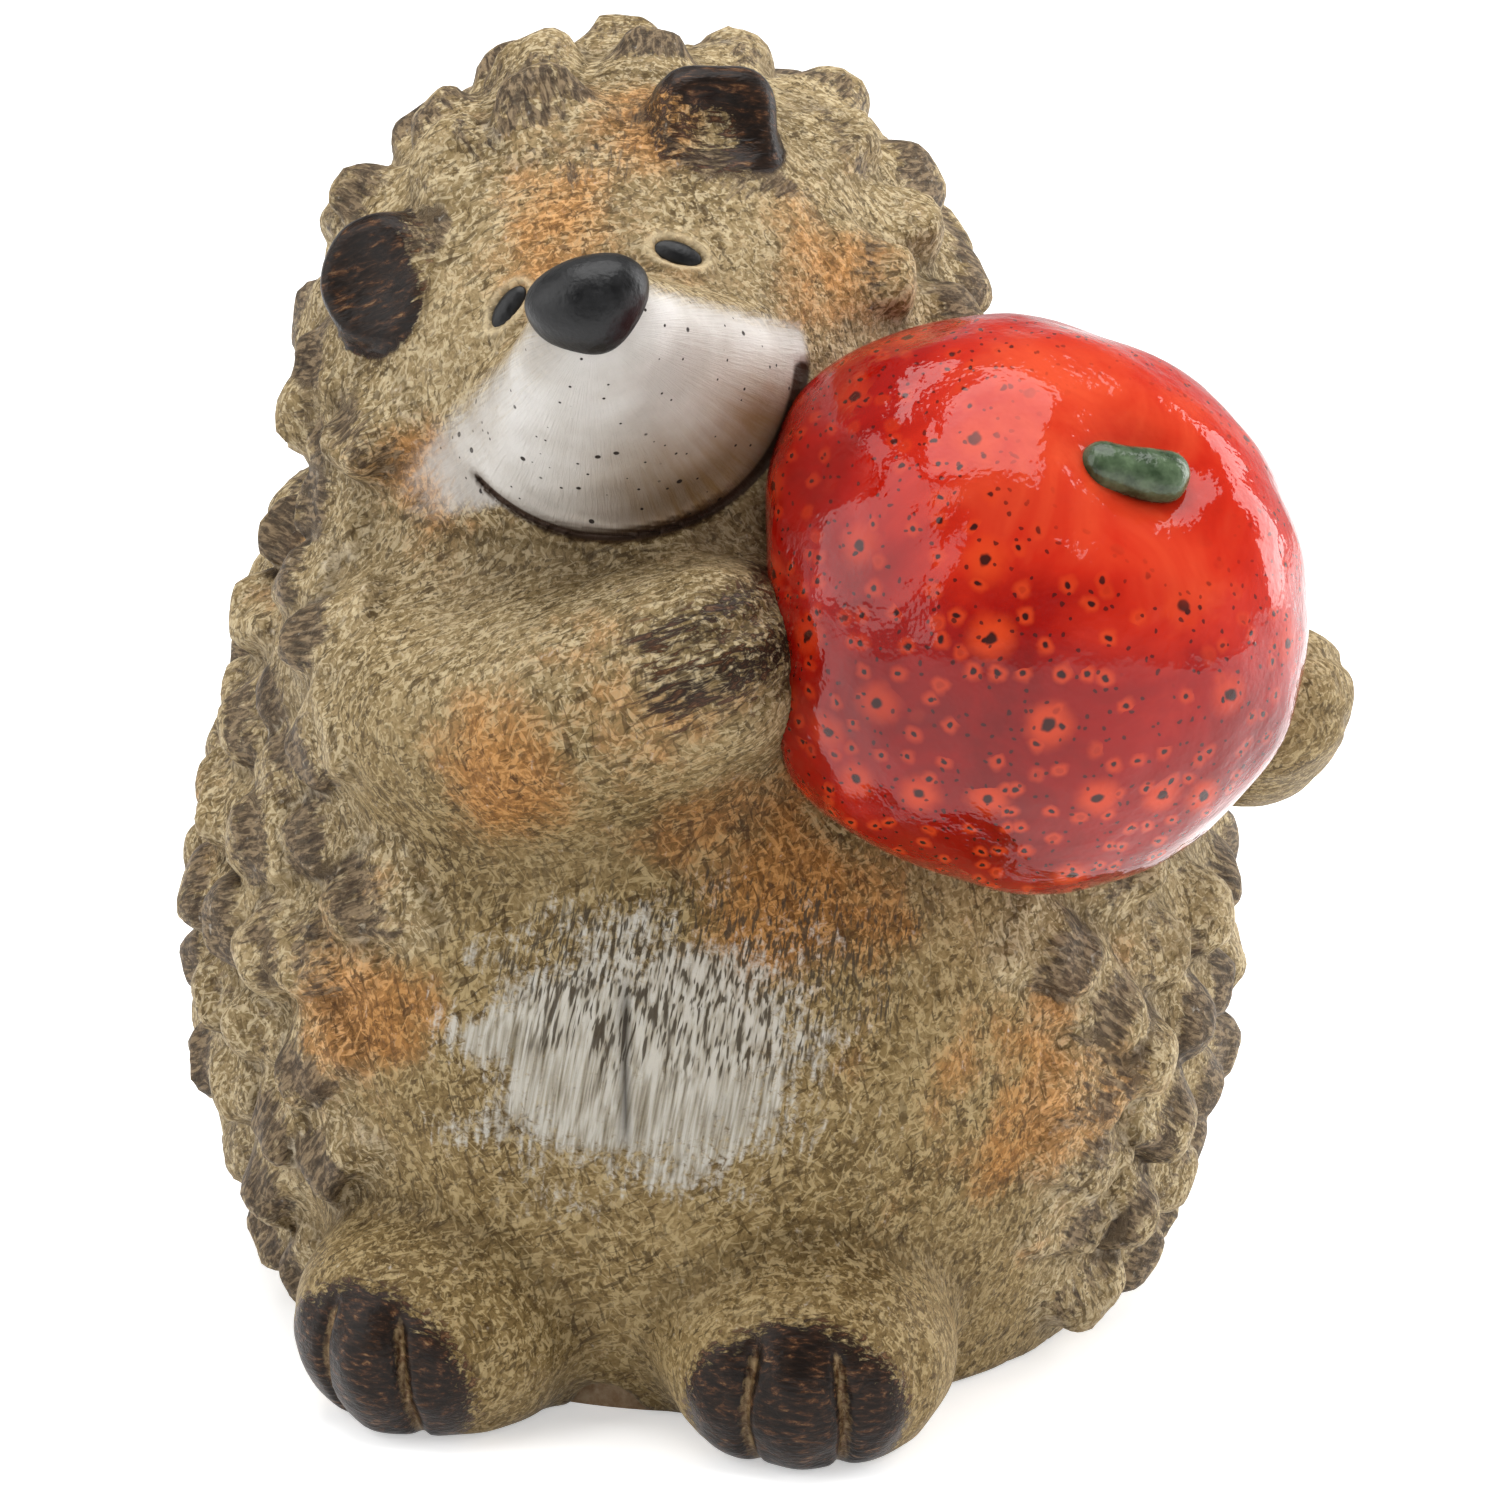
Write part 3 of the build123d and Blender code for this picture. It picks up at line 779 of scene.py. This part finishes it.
def face_paint(p, d, paint):
    """White slip on the muzzle, its soiling, the dark line of the smile and the pale rims of the eyes."""
    q = face_local(p)
    across, up, depth = q.T
    reach = np.hypot(across, up)
    angle = np.degrees(np.arctan2(across, -up))
    in_front = depth > 12
    brow = 7.5 - 0.35 * np.abs(across) - np.clip(across, 0, 30) * 0.12
    beyond = ramp(-angle, 52, 72)
    limit = mouth_radius + 0.4 + 7.5 * beyond
    fade = 0.7 + 5.0 * beyond
    edge = np.clip((limit - reach) / fade, -1, 1)
    paint["white"] = ramp(brow - up, -3.0, 5.0) * (0.5 + 0.5 * edge) * (1 - 0.3 * beyond) * in_front
    paint["soil"] = ramp(reach, 9, 22) * ramp(angle, -50, 10) * ramp(-angle, -80, -45) * in_front
    paint["line"] = mouth_line(q) * (np.abs(d["base"]) < 14)
    rims = [hump(eye_distance(p, side) - 0.7, 0.4) for side in (-1, 1)]
    paint["rim"] = np.maximum(*rims) * in_front


def belly_paint(p, d, paint):
    """The grey patch, the dark combing over it, the crack, and painted shade that deepens down the open clay.
    """
    turn = np.degrees(np.arctan2(p[:, 0], -p[:, 1]))
    height = p[:, 2]
    low_body = (np.abs(d["base"]) < 3) * (height < 90)
    patch = np.hypot((turn - 2 - 0.15 * (height - 56)) / 20.0, (height - 55.5) / 18.0)
    paint["patch"] = np.clip((1.35 - patch - 0.2 * wobble(p, 13, 21)) / 0.8, 0, 1) * low_body
    combed = np.hypot((turn - 9) / 26.0, (height - 66) / 15.0) + 0.2 * wobble(p, 12, 22)
    paint["comb"] = np.clip((1.2 - combed) / 0.8, 0, 1) * low_body
    crack = hump(turn - 0.8 - 0.25 * wobble(p, 9, 23), 0.55)
    paint["crack"] = crack * ramp(height, 41, 47) * ramp(-height, -68, -62) * low_body
    # Painted shade: a little over all the open clay, deepening towards the bottom, where less light falls.
    open_clay = np.clip(1 - ramp(-d["coat"], -4, -1), 0, 1)
    paint["stain"] = open_clay * (0.1 + 0.9 * ramp(-height, -116, -84))


def paw_paint(p, d, paint):
    """Dark claws with rubbed grooves; the far paw has little of them."""
    for arm, name, amount in ((arm_right, "arm_right", 0.85), (arm_left, "arm_left", 0.3)):
        line, radii = arm
        ahead = (p - line[-1]) @ paw_axes(line).T
        paw = d[name] < limb_skin
        fingers = 0.6 + 0.1 * np.cos(ahead[:, 1] * 2 * np.pi / (radii[-1] * 0.72))
        close = ramp(ahead[:, 2], -16, -3) * ramp(radii[-1] - np.abs(ahead[:, 1] + 1.5), 1.5, 7)
        lay(paint, "claw", amount * fingers * close * paw)
        lay(paint, "groove", 0.45 * claw_lines(p, arm) * paw * amount)
        steer(paint, paw & (ahead[:, 2] > -18), ahead * (1, 1, 0.2))


def toe_paint(p, d, paint):
    """Dark toes with rubbed grooves."""
    for name in feet:
        f = foot_local(p, name)
        toes = d[name] < limb_skin
        lay(paint, "claw", ramp(f[:, 0] - 0.3 * f[:, 2] - 0.12 * np.abs(f[:, 1]), 7, 17) * toes)
        lay(paint, "groove", toe_lines(f) * toes)
        steer(paint, toes & (f[:, 0] > 2), f * (1, 0.3, 1))


def ear_paint(p, d, paint):
    """Dark ears; the right one is paler towards the face, the left one in its dish."""
    for side, name in ((-1, "ear_right"), (1, "ear_left")):
        e = ear_local(p, side)
        if side < 0:
            dark = 1.15 - 0.85 * ramp(-e[:, 1], 2, 9)
        else:
            rim = ramp(np.hypot(e[:, 0] + 0.9, e[:, 1] - 0.9), 2.5, 5.5)
            dark = 0.5 + 0.65 * rim * ramp(e[:, 0] - 1.1 * e[:, 1], -5, 2)
        on_ear = ramp(-d[name], -1.8, -0.6)
        lay(paint, "claw", dark * on_ear)
        steer(paint, on_ear > 0.5, e * (1, 0.25, 1))


def head_paint(p, d, paint):
    """Strokes that run out from the middle of the face, and a brown fringe over the brow."""
    across, up, depth = face_local(p).T
    ears = np.minimum(d["ear_right"], d["ear_left"])
    on_head = (p[:, 2] > chin_height) & (depth > -5) & (ears > 1.2)
    polar = np.degrees(np.arctan2(np.hypot(across, up), depth)) * 0.75
    around = np.arctan2(up, across)
    steer(paint, on_head, np.stack((np.cos(around) * 30, np.sin(around) * 30, polar * 0.25), -1))
    fringe = hump(polar - 32, 9) * ramp(up, 6, 18) * (depth > 0) * (d["base"] < 6)
    lay(paint, "tip", 0.56 * fringe * ramp(wobble(p, 12, 24), -0.3, 0.4))


def quill_paint(p, paint):
    """Brown in a band over the upper side of each quill, and strokes that run along it."""
    for middle, axes, half, offset, stain in quills:
        near = within(p, middle, half[0] + 4)
        if len(near):
            local = (p[near] - middle) @ axes.T
            close = ramp(-worn_block(local, half), -2.2, -0.4)
            top = -local[:, 2] / half[2] + 0.5 * local[:, 1] / half[1] * np.sin(offset[0])
            band = hump(local[:, 0] / half[0] - 0.7 * (stain - 0.3), 0.62)
            dark = close * ramp(top, -0.5, 0.4) * band * (0.22 + 0.66 * stain)
            paint["tip"][near] = np.maximum(paint["tip"][near], dark)
            mine = near[close > 0.5]
            paint["flow"][mine] = local[close > 0.5] * (0.3, 1, 1) + offset


def clay_paint(p, normal):
    """Amounts of each colour, painted shade and highlight among them, and coordinates that run with the
    brush, at points of the clay.
    """
    d = clay(p)
    paint = {layer: np.zeros(len(p)) for layer in ("rust", "claw", "groove", "tip")}
    paint["flow"] = p * (1, 1, 0.3)
    rust_paint(p, paint)
    for part in (face_paint, belly_paint, paw_paint, toe_paint, ear_paint, head_paint):
        part(p, d, paint)
    quill_paint(p, paint)
    # Painted shade in creases and hollows, where the clay closes in over a point.
    paint["shade"] = np.clip(1 - clay(p + normal * shade_reach)["skin"] / shade_reach, 0, 1)
    # Convex ridges of the quills, for rubbed wear and a painted highlight.
    worn_and_highlit_ridge = np.clip(clay(p - normal * edge_reach)["skin"] / edge_reach + 1, 0, 1)
    paint["edge"] = worn_and_highlit_ridge * ramp(-d["coat"], -3, -1)
    return paint


def apple_paint(p, normal):
    """Warmth of the red, where the dots gather, and a flat map of the near side in millimetres."""
    out = p - apple_centre
    out /= np.linalg.norm(out, axis=1)[:, None]
    across, up, ahead = out @ view_right, out @ view_up, out @ np.cross(view_right, view_up)
    core = out @ apple_core
    warm = 0.3 + 0.5 * ramp(core, 0.35, 0.95) - 0.14 * ramp(across, 0.2, 0.9)
    warm -= 0.22 * hump(np.hypot(across + 0.1, up + 0.25), 0.45)
    dots = 0.4 + 0.6 * hump(np.hypot(across - 0.02, up + 0.22), 0.5) + 0.4 * ramp(-up, 0.5, 0.8)
    spread = apple_radius * np.sqrt(2 / np.maximum(1 + ahead, 0.02))
    sheet = np.stack((across * spread, up * spread, np.zeros(len(p))), -1)
    dots *= ramp(-core, -0.99, -0.75) * ramp(ahead, -0.5, 0.0)
    return {"warm": warm, "dots": np.clip(dots, 0, 1), "sheet": sheet}


def make_piece(name, material, field, low, high, step, paint=None):
    """The sculpted piece that stands for a node of the frame."""
    vertices, quads, normals = main_island(*net(field, low, high, step))
    mesh = bpy.data.meshes.new(name + "_sculpt")
    mesh.vertices.add(len(vertices))
    mesh.vertices.foreach_set("co", (vertices * millimetre).astype(np.float32).ravel())
    mesh.loops.add(quads.size)
    mesh.loops.foreach_set("vertex_index", quads.astype(np.int32).ravel())
    mesh.polygons.add(len(quads))
    mesh.polygons.foreach_set("loop_start", np.arange(0, quads.size, 4, dtype=np.int32))
    mesh.polygons.foreach_set("use_smooth", np.ones(len(quads), bool))
    mesh.update(calc_edges=True)
    mesh.validate()
    if paint:
        for key, value in paint(vertices, normals).items():
            vector = value.ndim == 2
            layer = mesh.attributes.new(key, "FLOAT_VECTOR" if vector else "FLOAT", "POINT")
            layer.data.foreach_set("vector" if vector else "value", value.astype(np.float32).ravel())
    mesh.normals_split_custom_set_from_vertices(normals.astype(np.float32))
    mesh.materials.append(material)
    piece = bpy.data.objects.new(name + "_sculpt", mesh)
    scene.collection.objects.link(piece)
    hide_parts(name)
    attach(piece, "root")


# Materials


def linear(red, green, blue):
    """An sRGB colour of 0 to 255 as the linear one that the renderer works with."""
    c = np.array((red, green, blue)) / 255
    c = np.where(c <= 0.04045, c / 12.92, ((c + 0.055) / 1.055) ** 2.4)
    return (*c, 1.0)


class Nodes:
    """Shorthand for building a material, or the world."""

    def __init__(self, name, world=None):
        self.material = world or bpy.data.materials.new(name)
        self.material.use_nodes = True
        self.tree = self.material.node_tree
        self.surface = self.tree.nodes["Background" if world else "Principled BSDF"]

    def put(self, node, values):
        """Gives the node's sockets constant values, or links to other sockets."""
        for key, value in values.items():
            if hasattr(value, "is_output"):
                self.tree.links.new(value, node.inputs[key])
            else:
                node.inputs[key].default_value = value

    def add(self, kind, values=None, **settings):
        node = self.tree.nodes.new(kind)
        for key, value in settings.items():
            setattr(node, key, value)
        self.put(node, values or {})
        return node

    def layer(self, name, vector=False):
        node = self.add("ShaderNodeAttribute", attribute_name=name)
        return node.outputs["Vector" if vector else "Fac"]

    def moved(self, vector, stretch, shift):
        values = {0: vector, 1: stretch, 2: shift}
        return self.add("ShaderNodeVectorMath", values, operation="MULTIPLY_ADD").outputs[0]

    def place(self, shift=(0.0, 0.0, 0.0)):
        """Object coordinates in millimetres."""
        metres = self.add("ShaderNodeTexCoord").outputs["Object"]
        return self.moved(metres, (1000.0, 1000.0, 1000.0), shift)

    def stirred(self, vector, scale, amount):
        """The coordinates pushed about by a noise, so that marks lose their even outlines."""
        noise = self.add("ShaderNodeTexNoise", {"Vector": vector, "Scale": scale})
        return self.moved(noise.outputs["Color"], (amount, amount, amount), vector)

    def noise(self, vector, scale, detail=2.0, rough=0.5, distort=0.0):
        values = {"Vector": vector, "Scale": scale, "Detail": detail, "Roughness": rough}
        values["Distortion"] = distort
        return self.add("ShaderNodeTexNoise", values).outputs["Fac"]

    def cells(self, vector, scale, space="3D"):
        node = self.add("ShaderNodeTexVoronoi", {"Vector": vector, "Scale": scale}, voronoi_dimensions=space)
        return node.outputs["Distance"], node.outputs["Color"]

    def math(self, how, a, b):
        return self.add("ShaderNodeMath", {0: a, 1: b}, operation=how).outputs[0]

    def chain(self, how, values):
        total = values[0]
        for value in values[1:]:
            total = self.math(how, total, value)
        return total

    def times(self, *values):
        return self.chain("MULTIPLY", values)

    def plus(self, *values):
        return self.chain("ADD", values)

    def most(self, *values):
        return self.chain("MAXIMUM", values)

    def swing(self, noise, amount):
        """A noise about zero, that far from its lowest to its highest."""
        return self.times(self.math("SUBTRACT", noise, 0.5), amount)

    def span(self, value, low, high, to_low=0.0, to_high=1.0):
        values = dict(enumerate((value, low, high, to_low, to_high)))
        return self.add("ShaderNodeMapRange", values, interpolation_type="SMOOTHSTEP").outputs[0]

    def dashes(self, turn, width, length, shift, bend=0.7):
        """Noise drawn out into short strokes that lean sideways by an angle; sizes in millimetres."""
        values = {
            "Vector": self.place((shift, shift, shift)),
            "Rotation": (0.0, np.radians(turn), 0.0),
            "Scale": (width, width, length),
        }
        drawn = self.add("ShaderNodeMapping", values, vector_type="TEXTURE").outputs[0]
        return self.noise(drawn, 1.0, 1.0, 0.5, bend)

    def mix(self, amount, a, b, how="MIX"):
        values = {0: amount, 6: a, 7: b}
        return self.add("ShaderNodeMix", values, data_type="RGBA", blend_type=how).outputs[2]

    def ramp(self, value, *stops):
        node = self.add("ShaderNodeValToRGB", {"Fac": value})
        points = node.color_ramp.elements
        while len(points) < len(stops):
            points.new(0.5)
        for point, (position, colour) in zip(points, stops):
            point.position = position
            point.color = linear(*colour)
        return node.outputs["Color"]

    def bump(self, height, strength, distance, normal=None):
        values = {"Height": height, "Strength": strength, "Distance": distance}
        if normal:
            values["Normal"] = normal
        return self.add("ShaderNodeBump", values).outputs["Normal"]

    def seen(self):
        """One where the surface is looked at, straight on or by way of a mirror or glass."""
        rays = self.add("ShaderNodeLightPath").outputs
        return self.most(rays["Is Camera Ray"], rays["Is Glossy Ray"], rays["Is Transmission Ray"])

    def finish(self, colour, rough, normal=None, shine=0.5, glow=0.0):
        values = {"Base Color": colour, "Roughness": rough, "Specular IOR Level": shine}
        values["Emission Strength"] = glow
        if normal:
            values["Normal"] = normal
        self.put(self.surface, values)
        return self.material


def brushed_clay():
    n = Nodes("brushed_clay")
    flow, place = n.layer("flow", True), n.place()
    drift = n.noise(place, 0.05, 3.0, 0.6)
    grain = n.noise(place, 0.9, 3.0, 0.65, 0.8)
    patches = n.noise(place, 0.22, 2.0, 0.5)
    strokes = n.noise(flow, 1.3, 3.0, 0.62, 0.5)
    tone = n.plus(n.times(grain, 0.6), n.times(drift, 0.4))
    clays = (0.34, (92, 74, 44)), (0.45, (126, 107, 72)), (0.55, (152, 132, 96)), (0.68, (178, 160, 124))
    colour = n.ramp(tone, *clays)
    for mark in ((24, 0.8, 3.4, 3.1), (-42, 0.75, 3.0, 17.7), (78, 0.7, 2.8, 29.3)):
        dash = n.span(n.dashes(*mark), 0.57, 0.65)
        colour = n.mix(n.times(dash, 0.62), colour, linear(198, 181, 146))
    for mark in ((-14, 0.8, 3.6, 41.9), (58, 0.7, 3.0, 53.3)):
        dash = n.span(n.dashes(*mark), 0.57, 0.66)
        colour = n.mix(n.times(dash, n.span(patches, 0.35, 0.6, 0.75, 0.4)), colour, linear(70, 53, 28))
    # Painted shade: the open clay darkened, most towards the bottom.
    colour = n.mix(n.layer("stain"), colour, (0.74, 0.69, 0.56, 1.0), "MULTIPLY")

    # Rust rubbed into the clay in soft patches
    rust = n.span(n.plus(n.layer("rust"), n.swing(patches, 0.8), n.swing(grain, 0.7)), 0.12, 0.85)
    colour = n.mix(n.times(rust, 0.92), colour, (1.22, 0.78, 0.46, 1.0), "MULTIPLY")

    # Brown brushed over the quills in broad, streaky patches, worn off along the ridges and lightened there
    # by a painted highlight
    brush = n.noise(flow, 0.9, 3.0, 0.65, 0.4)
    tip = n.span(n.plus(n.layer("tip"), n.swing(brush, 1.3), n.swing(patches, 0.7)), 0.3, 0.58)
    brown = n.ramp(strokes, (0.34, (42, 33, 26)), (0.48, (70, 56, 43)), (0.62, (132, 113, 88)))
    colour = n.mix(n.times(tip, 0.9), colour, brown)
    # Ridges of the quills lightened: partly the brown rubbed off, partly painted highlight.
    worn_and_highlit_edge = n.span(n.plus(n.layer("edge"), n.swing(grain, 0.8)), 0.25, 0.7)
    colour = n.mix(n.times(worn_and_highlit_edge, 0.65), colour, linear(212, 199, 174))

    # Grey belly patch with long dark strokes over its upper part
    long_marks = n.dashes(8, 0.75, 14.0, 5.0, 0.15)
    thin_marks = n.dashes(11, 0.42, 8.0, 11.0, 0.15)
    soft = n.plus(n.swing(grain, 1.5), n.swing(patches, 0.6), n.swing(long_marks, 0.9))
    patch = n.span(n.plus(n.layer("patch"), soft), 0.25, 0.85)
    streaks = n.plus(n.times(long_marks, 0.5), n.times(thin_marks, 0.5))
    grey = n.ramp(streaks, (0.32, (110, 102, 86)), (0.46, (158, 152, 138)), (0.6, (190, 186, 176)))
    colour = n.mix(n.times(patch, 0.9), colour, grey)
    hairs = n.plus(n.span(thin_marks, 0.36, 0.46, 1.0, 0.0), n.span(long_marks, 0.32, 0.42, 1.0, 0.0))
    combed = n.times(n.span(n.plus(n.layer("comb"), n.swing(patches, 1.2)), 0.1, 0.7), hairs)
    colour = n.mix(n.times(n.math("MINIMUM", combed, 1.0), 0.85), colour, linear(58, 49, 38))
    colour = n.mix(n.times(n.layer("crack"), 0.9), colour, linear(40, 34, 28))

    # White slip on the muzzle, soiled towards the smile and spattered with black
    white = n.span(n.plus(n.layer("white"), n.swing(strokes, 0.6)), 0.12, 0.8)
    slips = (0.34, (180, 174, 167)), (0.52, (200, 196, 190)), (0.7, (212, 209, 205))
    slip = n.ramp(n.noise(place, 0.09, 3.0, 0.5), *slips)
    soil = n.times(n.layer("soil"), n.span(n.noise(flow, 0.5, 3.0, 0.6), 0.3, 0.7, 0.8, 1.0))
    slip = n.mix(soil, slip, linear(140, 112, 74))
    colour = n.mix(n.times(white, 0.96), colour, slip)
    speck, pick = n.cells(place, 0.3)
    large = n.times(n.span(speck, 0.09, 0.14, 1.0, 0.0), n.span(pick, 0.5, 0.52))
    speck, pick = n.cells(place, 0.62)
    small = n.times(n.span(speck, 0.1, 0.16, 1.0, 0.0), n.span(pick, 0.56, 0.58))
    colour = n.mix(n.times(n.most(large, small), white), colour, linear(46, 40, 37))

    # Dark glossy claws, toes and ears with worn, rusty streaks
    worn = n.noise(flow, 1.2, 4.0, 0.65, 0.4)
    claw = n.span(n.plus(n.layer("claw"), n.swing(worn, 1.5)), 0.36, 0.62)
    browns = (0.42, (24, 17, 13)), (0.55, (42, 29, 21)), (0.63, (78, 51, 33)), (0.74, (136, 106, 74))
    colour = n.mix(claw, colour, n.ramp(worn, *browns))
    groove = n.span(n.plus(n.layer("groove"), n.swing(grain, 0.8)), 0.4, 0.85)
    rubbed = n.ramp(grain, (0.4, (112, 80, 48)), (0.6, (172, 146, 106)))
    colour = n.mix(n.times(groove, 0.65), colour, rubbed)

    # Painted shade in the creases and hollows.
    colour = n.mix(n.times(n.layer("shade"), 0.95), colour, linear(102, 80, 56), "MULTIPLY")
    colour = n.mix(n.times(n.layer("rim"), 0.7), colour, linear(196, 178, 144))
    colour = n.mix(n.span(n.layer("line"), 0.3, 0.65), colour, linear(60, 45, 35))
    smooth = n.most(white, claw)
    height = n.plus(n.times(grain, n.span(smooth, 0.0, 1.0, 1.0, 0.25)), n.times(strokes, 0.8))
    rough = n.math("SUBTRACT", 0.55, n.times(n.most(claw, n.times(white, 0.4)), 0.24))
    return n.finish(colour, rough, n.bump(height, 0.5, 0.0005), 0.15)


def red_glaze():
    n = Nodes("red_glaze")
    place = n.place()
    sheet = n.stirred(n.layer("sheet", True), 0.4, 1.6)
    cloud = n.noise(place, 0.06, 4.0, 0.6, 0.6)
    warm = n.plus(n.layer("warm"), n.swing(cloud, 1.0))
    reds = (0.1, (116, 5, 1)), (0.4, (148, 12, 3)), (0.65, (180, 34, 14)), (0.95, (200, 68, 37))
    colour = n.ramp(warm, *reds)
    dots = n.layer("dots")
    big, chosen = n.cells(sheet, 0.085, "2D")
    small, pick = n.cells(sheet, 0.26, "2D")
    tiny, lot = n.cells(sheet, 0.6, "2D")
    large_kept, small_kept = n.span(chosen, 0.42, 0.46), n.span(pick, 0.38, 0.44)
    halo = n.times(n.span(big, 0.1, 0.34, 1.0, 0.0), large_kept)
    halo = n.most(halo, n.times(n.span(small, 0.14, 0.4, 1.0, 0.0), small_kept, 0.85))
    colour = n.mix(n.times(halo, n.span(dots, 0.0, 1.0, 0.0, 0.85)), colour, linear(206, 66, 24))
    centre = n.times(n.span(small, 0.08, 0.18, 1.0, 0.0), small_kept, dots)
    colour = n.mix(n.times(centre, 0.4), colour, linear(120, 14, 5))
    cores = (
        n.times(n.span(big, 0.05, 0.09, 1.0, 0.0), large_kept),
        n.times(n.span(small, 0.07, 0.13, 1.0, 0.0), n.span(pick, 0.5, 0.54)),
        n.times(n.span(tiny, 0.12, 0.2, 1.0, 0.0), n.span(lot, 0.6, 0.63), 0.8),
    )
    colour = n.mix(n.times(n.most(*cores), n.span(dots, 0.0, 0.5, 0.0, 0.95)), colour, linear(30, 13, 11))
    dents = n.bump(n.noise(place, 0.06, 2.0, 0.5), 0.6, 0.0016)
    waves = n.bump(n.noise(n.place((9.0, 4.0, 2.0)), 0.22, 3.0, 0.6), 0.45, 0.0006, dents)
    normal = n.bump(n.noise(place, 0.9, 2.0), 0.12, 0.0003, waves)
    return n.finish(colour, 0.08, normal, 0.3)


def glaze(name, dark, light, rough, shine):
    n = Nodes(name)
    cloud = n.noise(n.place(), 0.35, 3.0, 0.6)
    colour = n.ramp(cloud, (0.35, dark), (0.65, light))
    normal = n.bump(n.noise(n.place(), 1.2, 3.0), 0.3, 0.0004)
    uneven = n.span(cloud, 0.3, 0.7, rough * 0.8, rough * 1.2)
    return n.finish(colour, uneven, normal, shine)


def raw_clay():
    n = Nodes("raw_clay")
    grain = n.noise(n.place(), 0.7, 4.0, 0.6)
    colour = n.ramp(grain, (0.35, (150, 120, 90)), (0.65, (190, 165, 135)))
    return n.finish(colour, 0.85, n.bump(grain, 0.3, 0.0005))


# Pieces

clay_material = brushed_clay()

# The box in which each node is meshed, and the size of its cells
boxes = {
    "back_shell": ((-80, -60, -2), (80, 80, 186), 1.32),
    "belly_shell": ((-56, -76, -2), (66, 4, 124), 0.9),
    "face_shell": ((-46, -64, 92), (34, 4, 178), 0.7),
    "muzzle": ((-40, -84, 98), (38, -22, 164), 0.6),
    "ear_right": ((-52, -50, 130), (-18, -10, 168), 0.5),
    "ear_left": ((-10, -46, 146), (36, -4, 186), 0.5),
    "arm_right": ((-72, -86, 70), (36, -8, 128), 0.7),
    "arm_left": ((40, -58, 62), (98, 30, 124), 0.7),
    "foot_right": ((-62, -90, -2), (4, -28, 36), 0.6),
    "foot_left": ((-8, -92, -2), (54, -28, 36), 0.6),
}
for name, (low, high, step) in boxes.items():
    slot = "white_slip" if name == "muzzle" else "brushed_clay"
    make_piece(name, clay_material, clay_field(name), low, high, step, clay_paint)

glazes = {
    "red_glaze": red_glaze(),
    "green_glaze": glaze("green_glaze", (44, 60, 38), (84, 102, 74), 0.2, 0.4),
    "black_glaze": glaze("black_glaze", (11, 11, 12), (27, 27, 28), 0.4, 0.3),
}

# Each glazed piece: its form, the middle and half size of its box, the size of its cells and its glaze
glazed = {
    "apple": (apple_cut, apple_centre, 45, 0.7, "red_glaze"),
    "apple_stem": (stem_distance, stem_middle, 11, 0.35, "green_glaze"),
    "nose": (nose_distance, head + 65 * face_z + 3 * face_y, 12, 0.35, "black_glaze"),
    "eye_right": (lambda p: eye_distance(p, -1), eye_axes(-1)[0], 5, 0.2, "black_glaze"),
    "eye_left": (lambda p: eye_distance(p, 1), eye_axes(1)[0], 5, 0.2, "black_glaze"),
}
for name, (shape, middle, half, step, slot) in glazed.items():
    paint = apple_paint if name == "apple" else None
    make_piece(name, glazes[slot], plain_field(shape), middle - half, middle + half, step, paint)

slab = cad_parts["base_slab"]
slab.data.materials.clear()
slab.data.materials.append(raw_clay())

# Studio

floor_half, floor_glow = 4.0, 0.45
backdrop_glow, backdrop_top, studio_light = 0.55, 0.5, 0.25
floor_corners = [(x * floor_half, y * floor_half, 0) for x, y in ((-1, -1), (1, -1), (1, 1), (-1, 1))]
floor_mesh = bpy.data.meshes.new("floor")
floor_mesh.from_pydata(floor_corners, [], [(0, 1, 2, 3)])
floor = bpy.data.objects.new("floor", floor_mesh)
scene.collection.objects.link(floor)
paper = Nodes("paper")
glow = paper.times(paper.seen(), floor_glow)
floor_mesh.materials.append(paper.finish(linear(250, 250, 250), 0.9, glow=glow))

world = bpy.data.worlds.new("studio")
scene.world = world
sky = Nodes("studio", world)
heading = sky.add("ShaderNodeSeparateXYZ", {0: sky.add("ShaderNodeTexCoord").outputs["Generated"]})

# The pale floor goes on as a pale backdrop that fades out upwards
backdrop = sky.times(sky.span(heading.outputs["Z"], 0.0, backdrop_top, backdrop_glow, 0.0), sky.seen())
sky.put(sky.surface, {"Color": (1, 1, 1, 1), "Strength": sky.plus(backdrop, studio_light)})

lamp_target = 0, 0, 0.08
camera_place, camera_target = (0.1477, -0.8076, 0.3423), (0.0051, 0.0009, 0.0755)


def stand(holder, place, target):
    """Puts a lamp or the camera in the scene, turned to the target."""
    holder.location = place
    holder.rotation_euler = (Vector(target) - Vector(place)).to_track_quat("-Z", "Y").to_euler()
    scene.collection.objects.link(holder)


def softbox(name, place, width, height, power, mirrored=True):
    """A soft lamp turned to the figure; sizes in metres, power in watts."""
    lamp = bpy.data.lights.new(name, "AREA")
    lamp.shape = "RECTANGLE"
    lamp.size, lamp.size_y, lamp.energy = width, height, power
    holder = bpy.data.objects.new(name, lamp)
    stand(holder, place, lamp_target)
    holder.visible_glossy = mirrored


softbox("key", (-1.0, -0.45, 0.7), 1.2, 1.1, 10.0)
softbox("side", (0.95, -0.15, 0.4), 0.6, 1.0, 6.0, mirrored=False)
softbox("rim", (0.8, 0.6, 0.35), 0.4, 1.0, 6.0)
softbox("front", (0.5, -1.2, 0.9), 0.8, 0.5, 2.5, mirrored=False)
softbox("top", (0.0, 0.05, 1.1), 1.1, 0.9, 12.0)

camera = bpy.data.cameras.new("camera")
camera.lens = 150
camera.sensor_width = 36
eye_point = bpy.data.objects.new("camera", camera)
stand(eye_point, camera_place, camera_target)
scene.camera = eye_point
scene.view_settings.view_transform = "Standard"
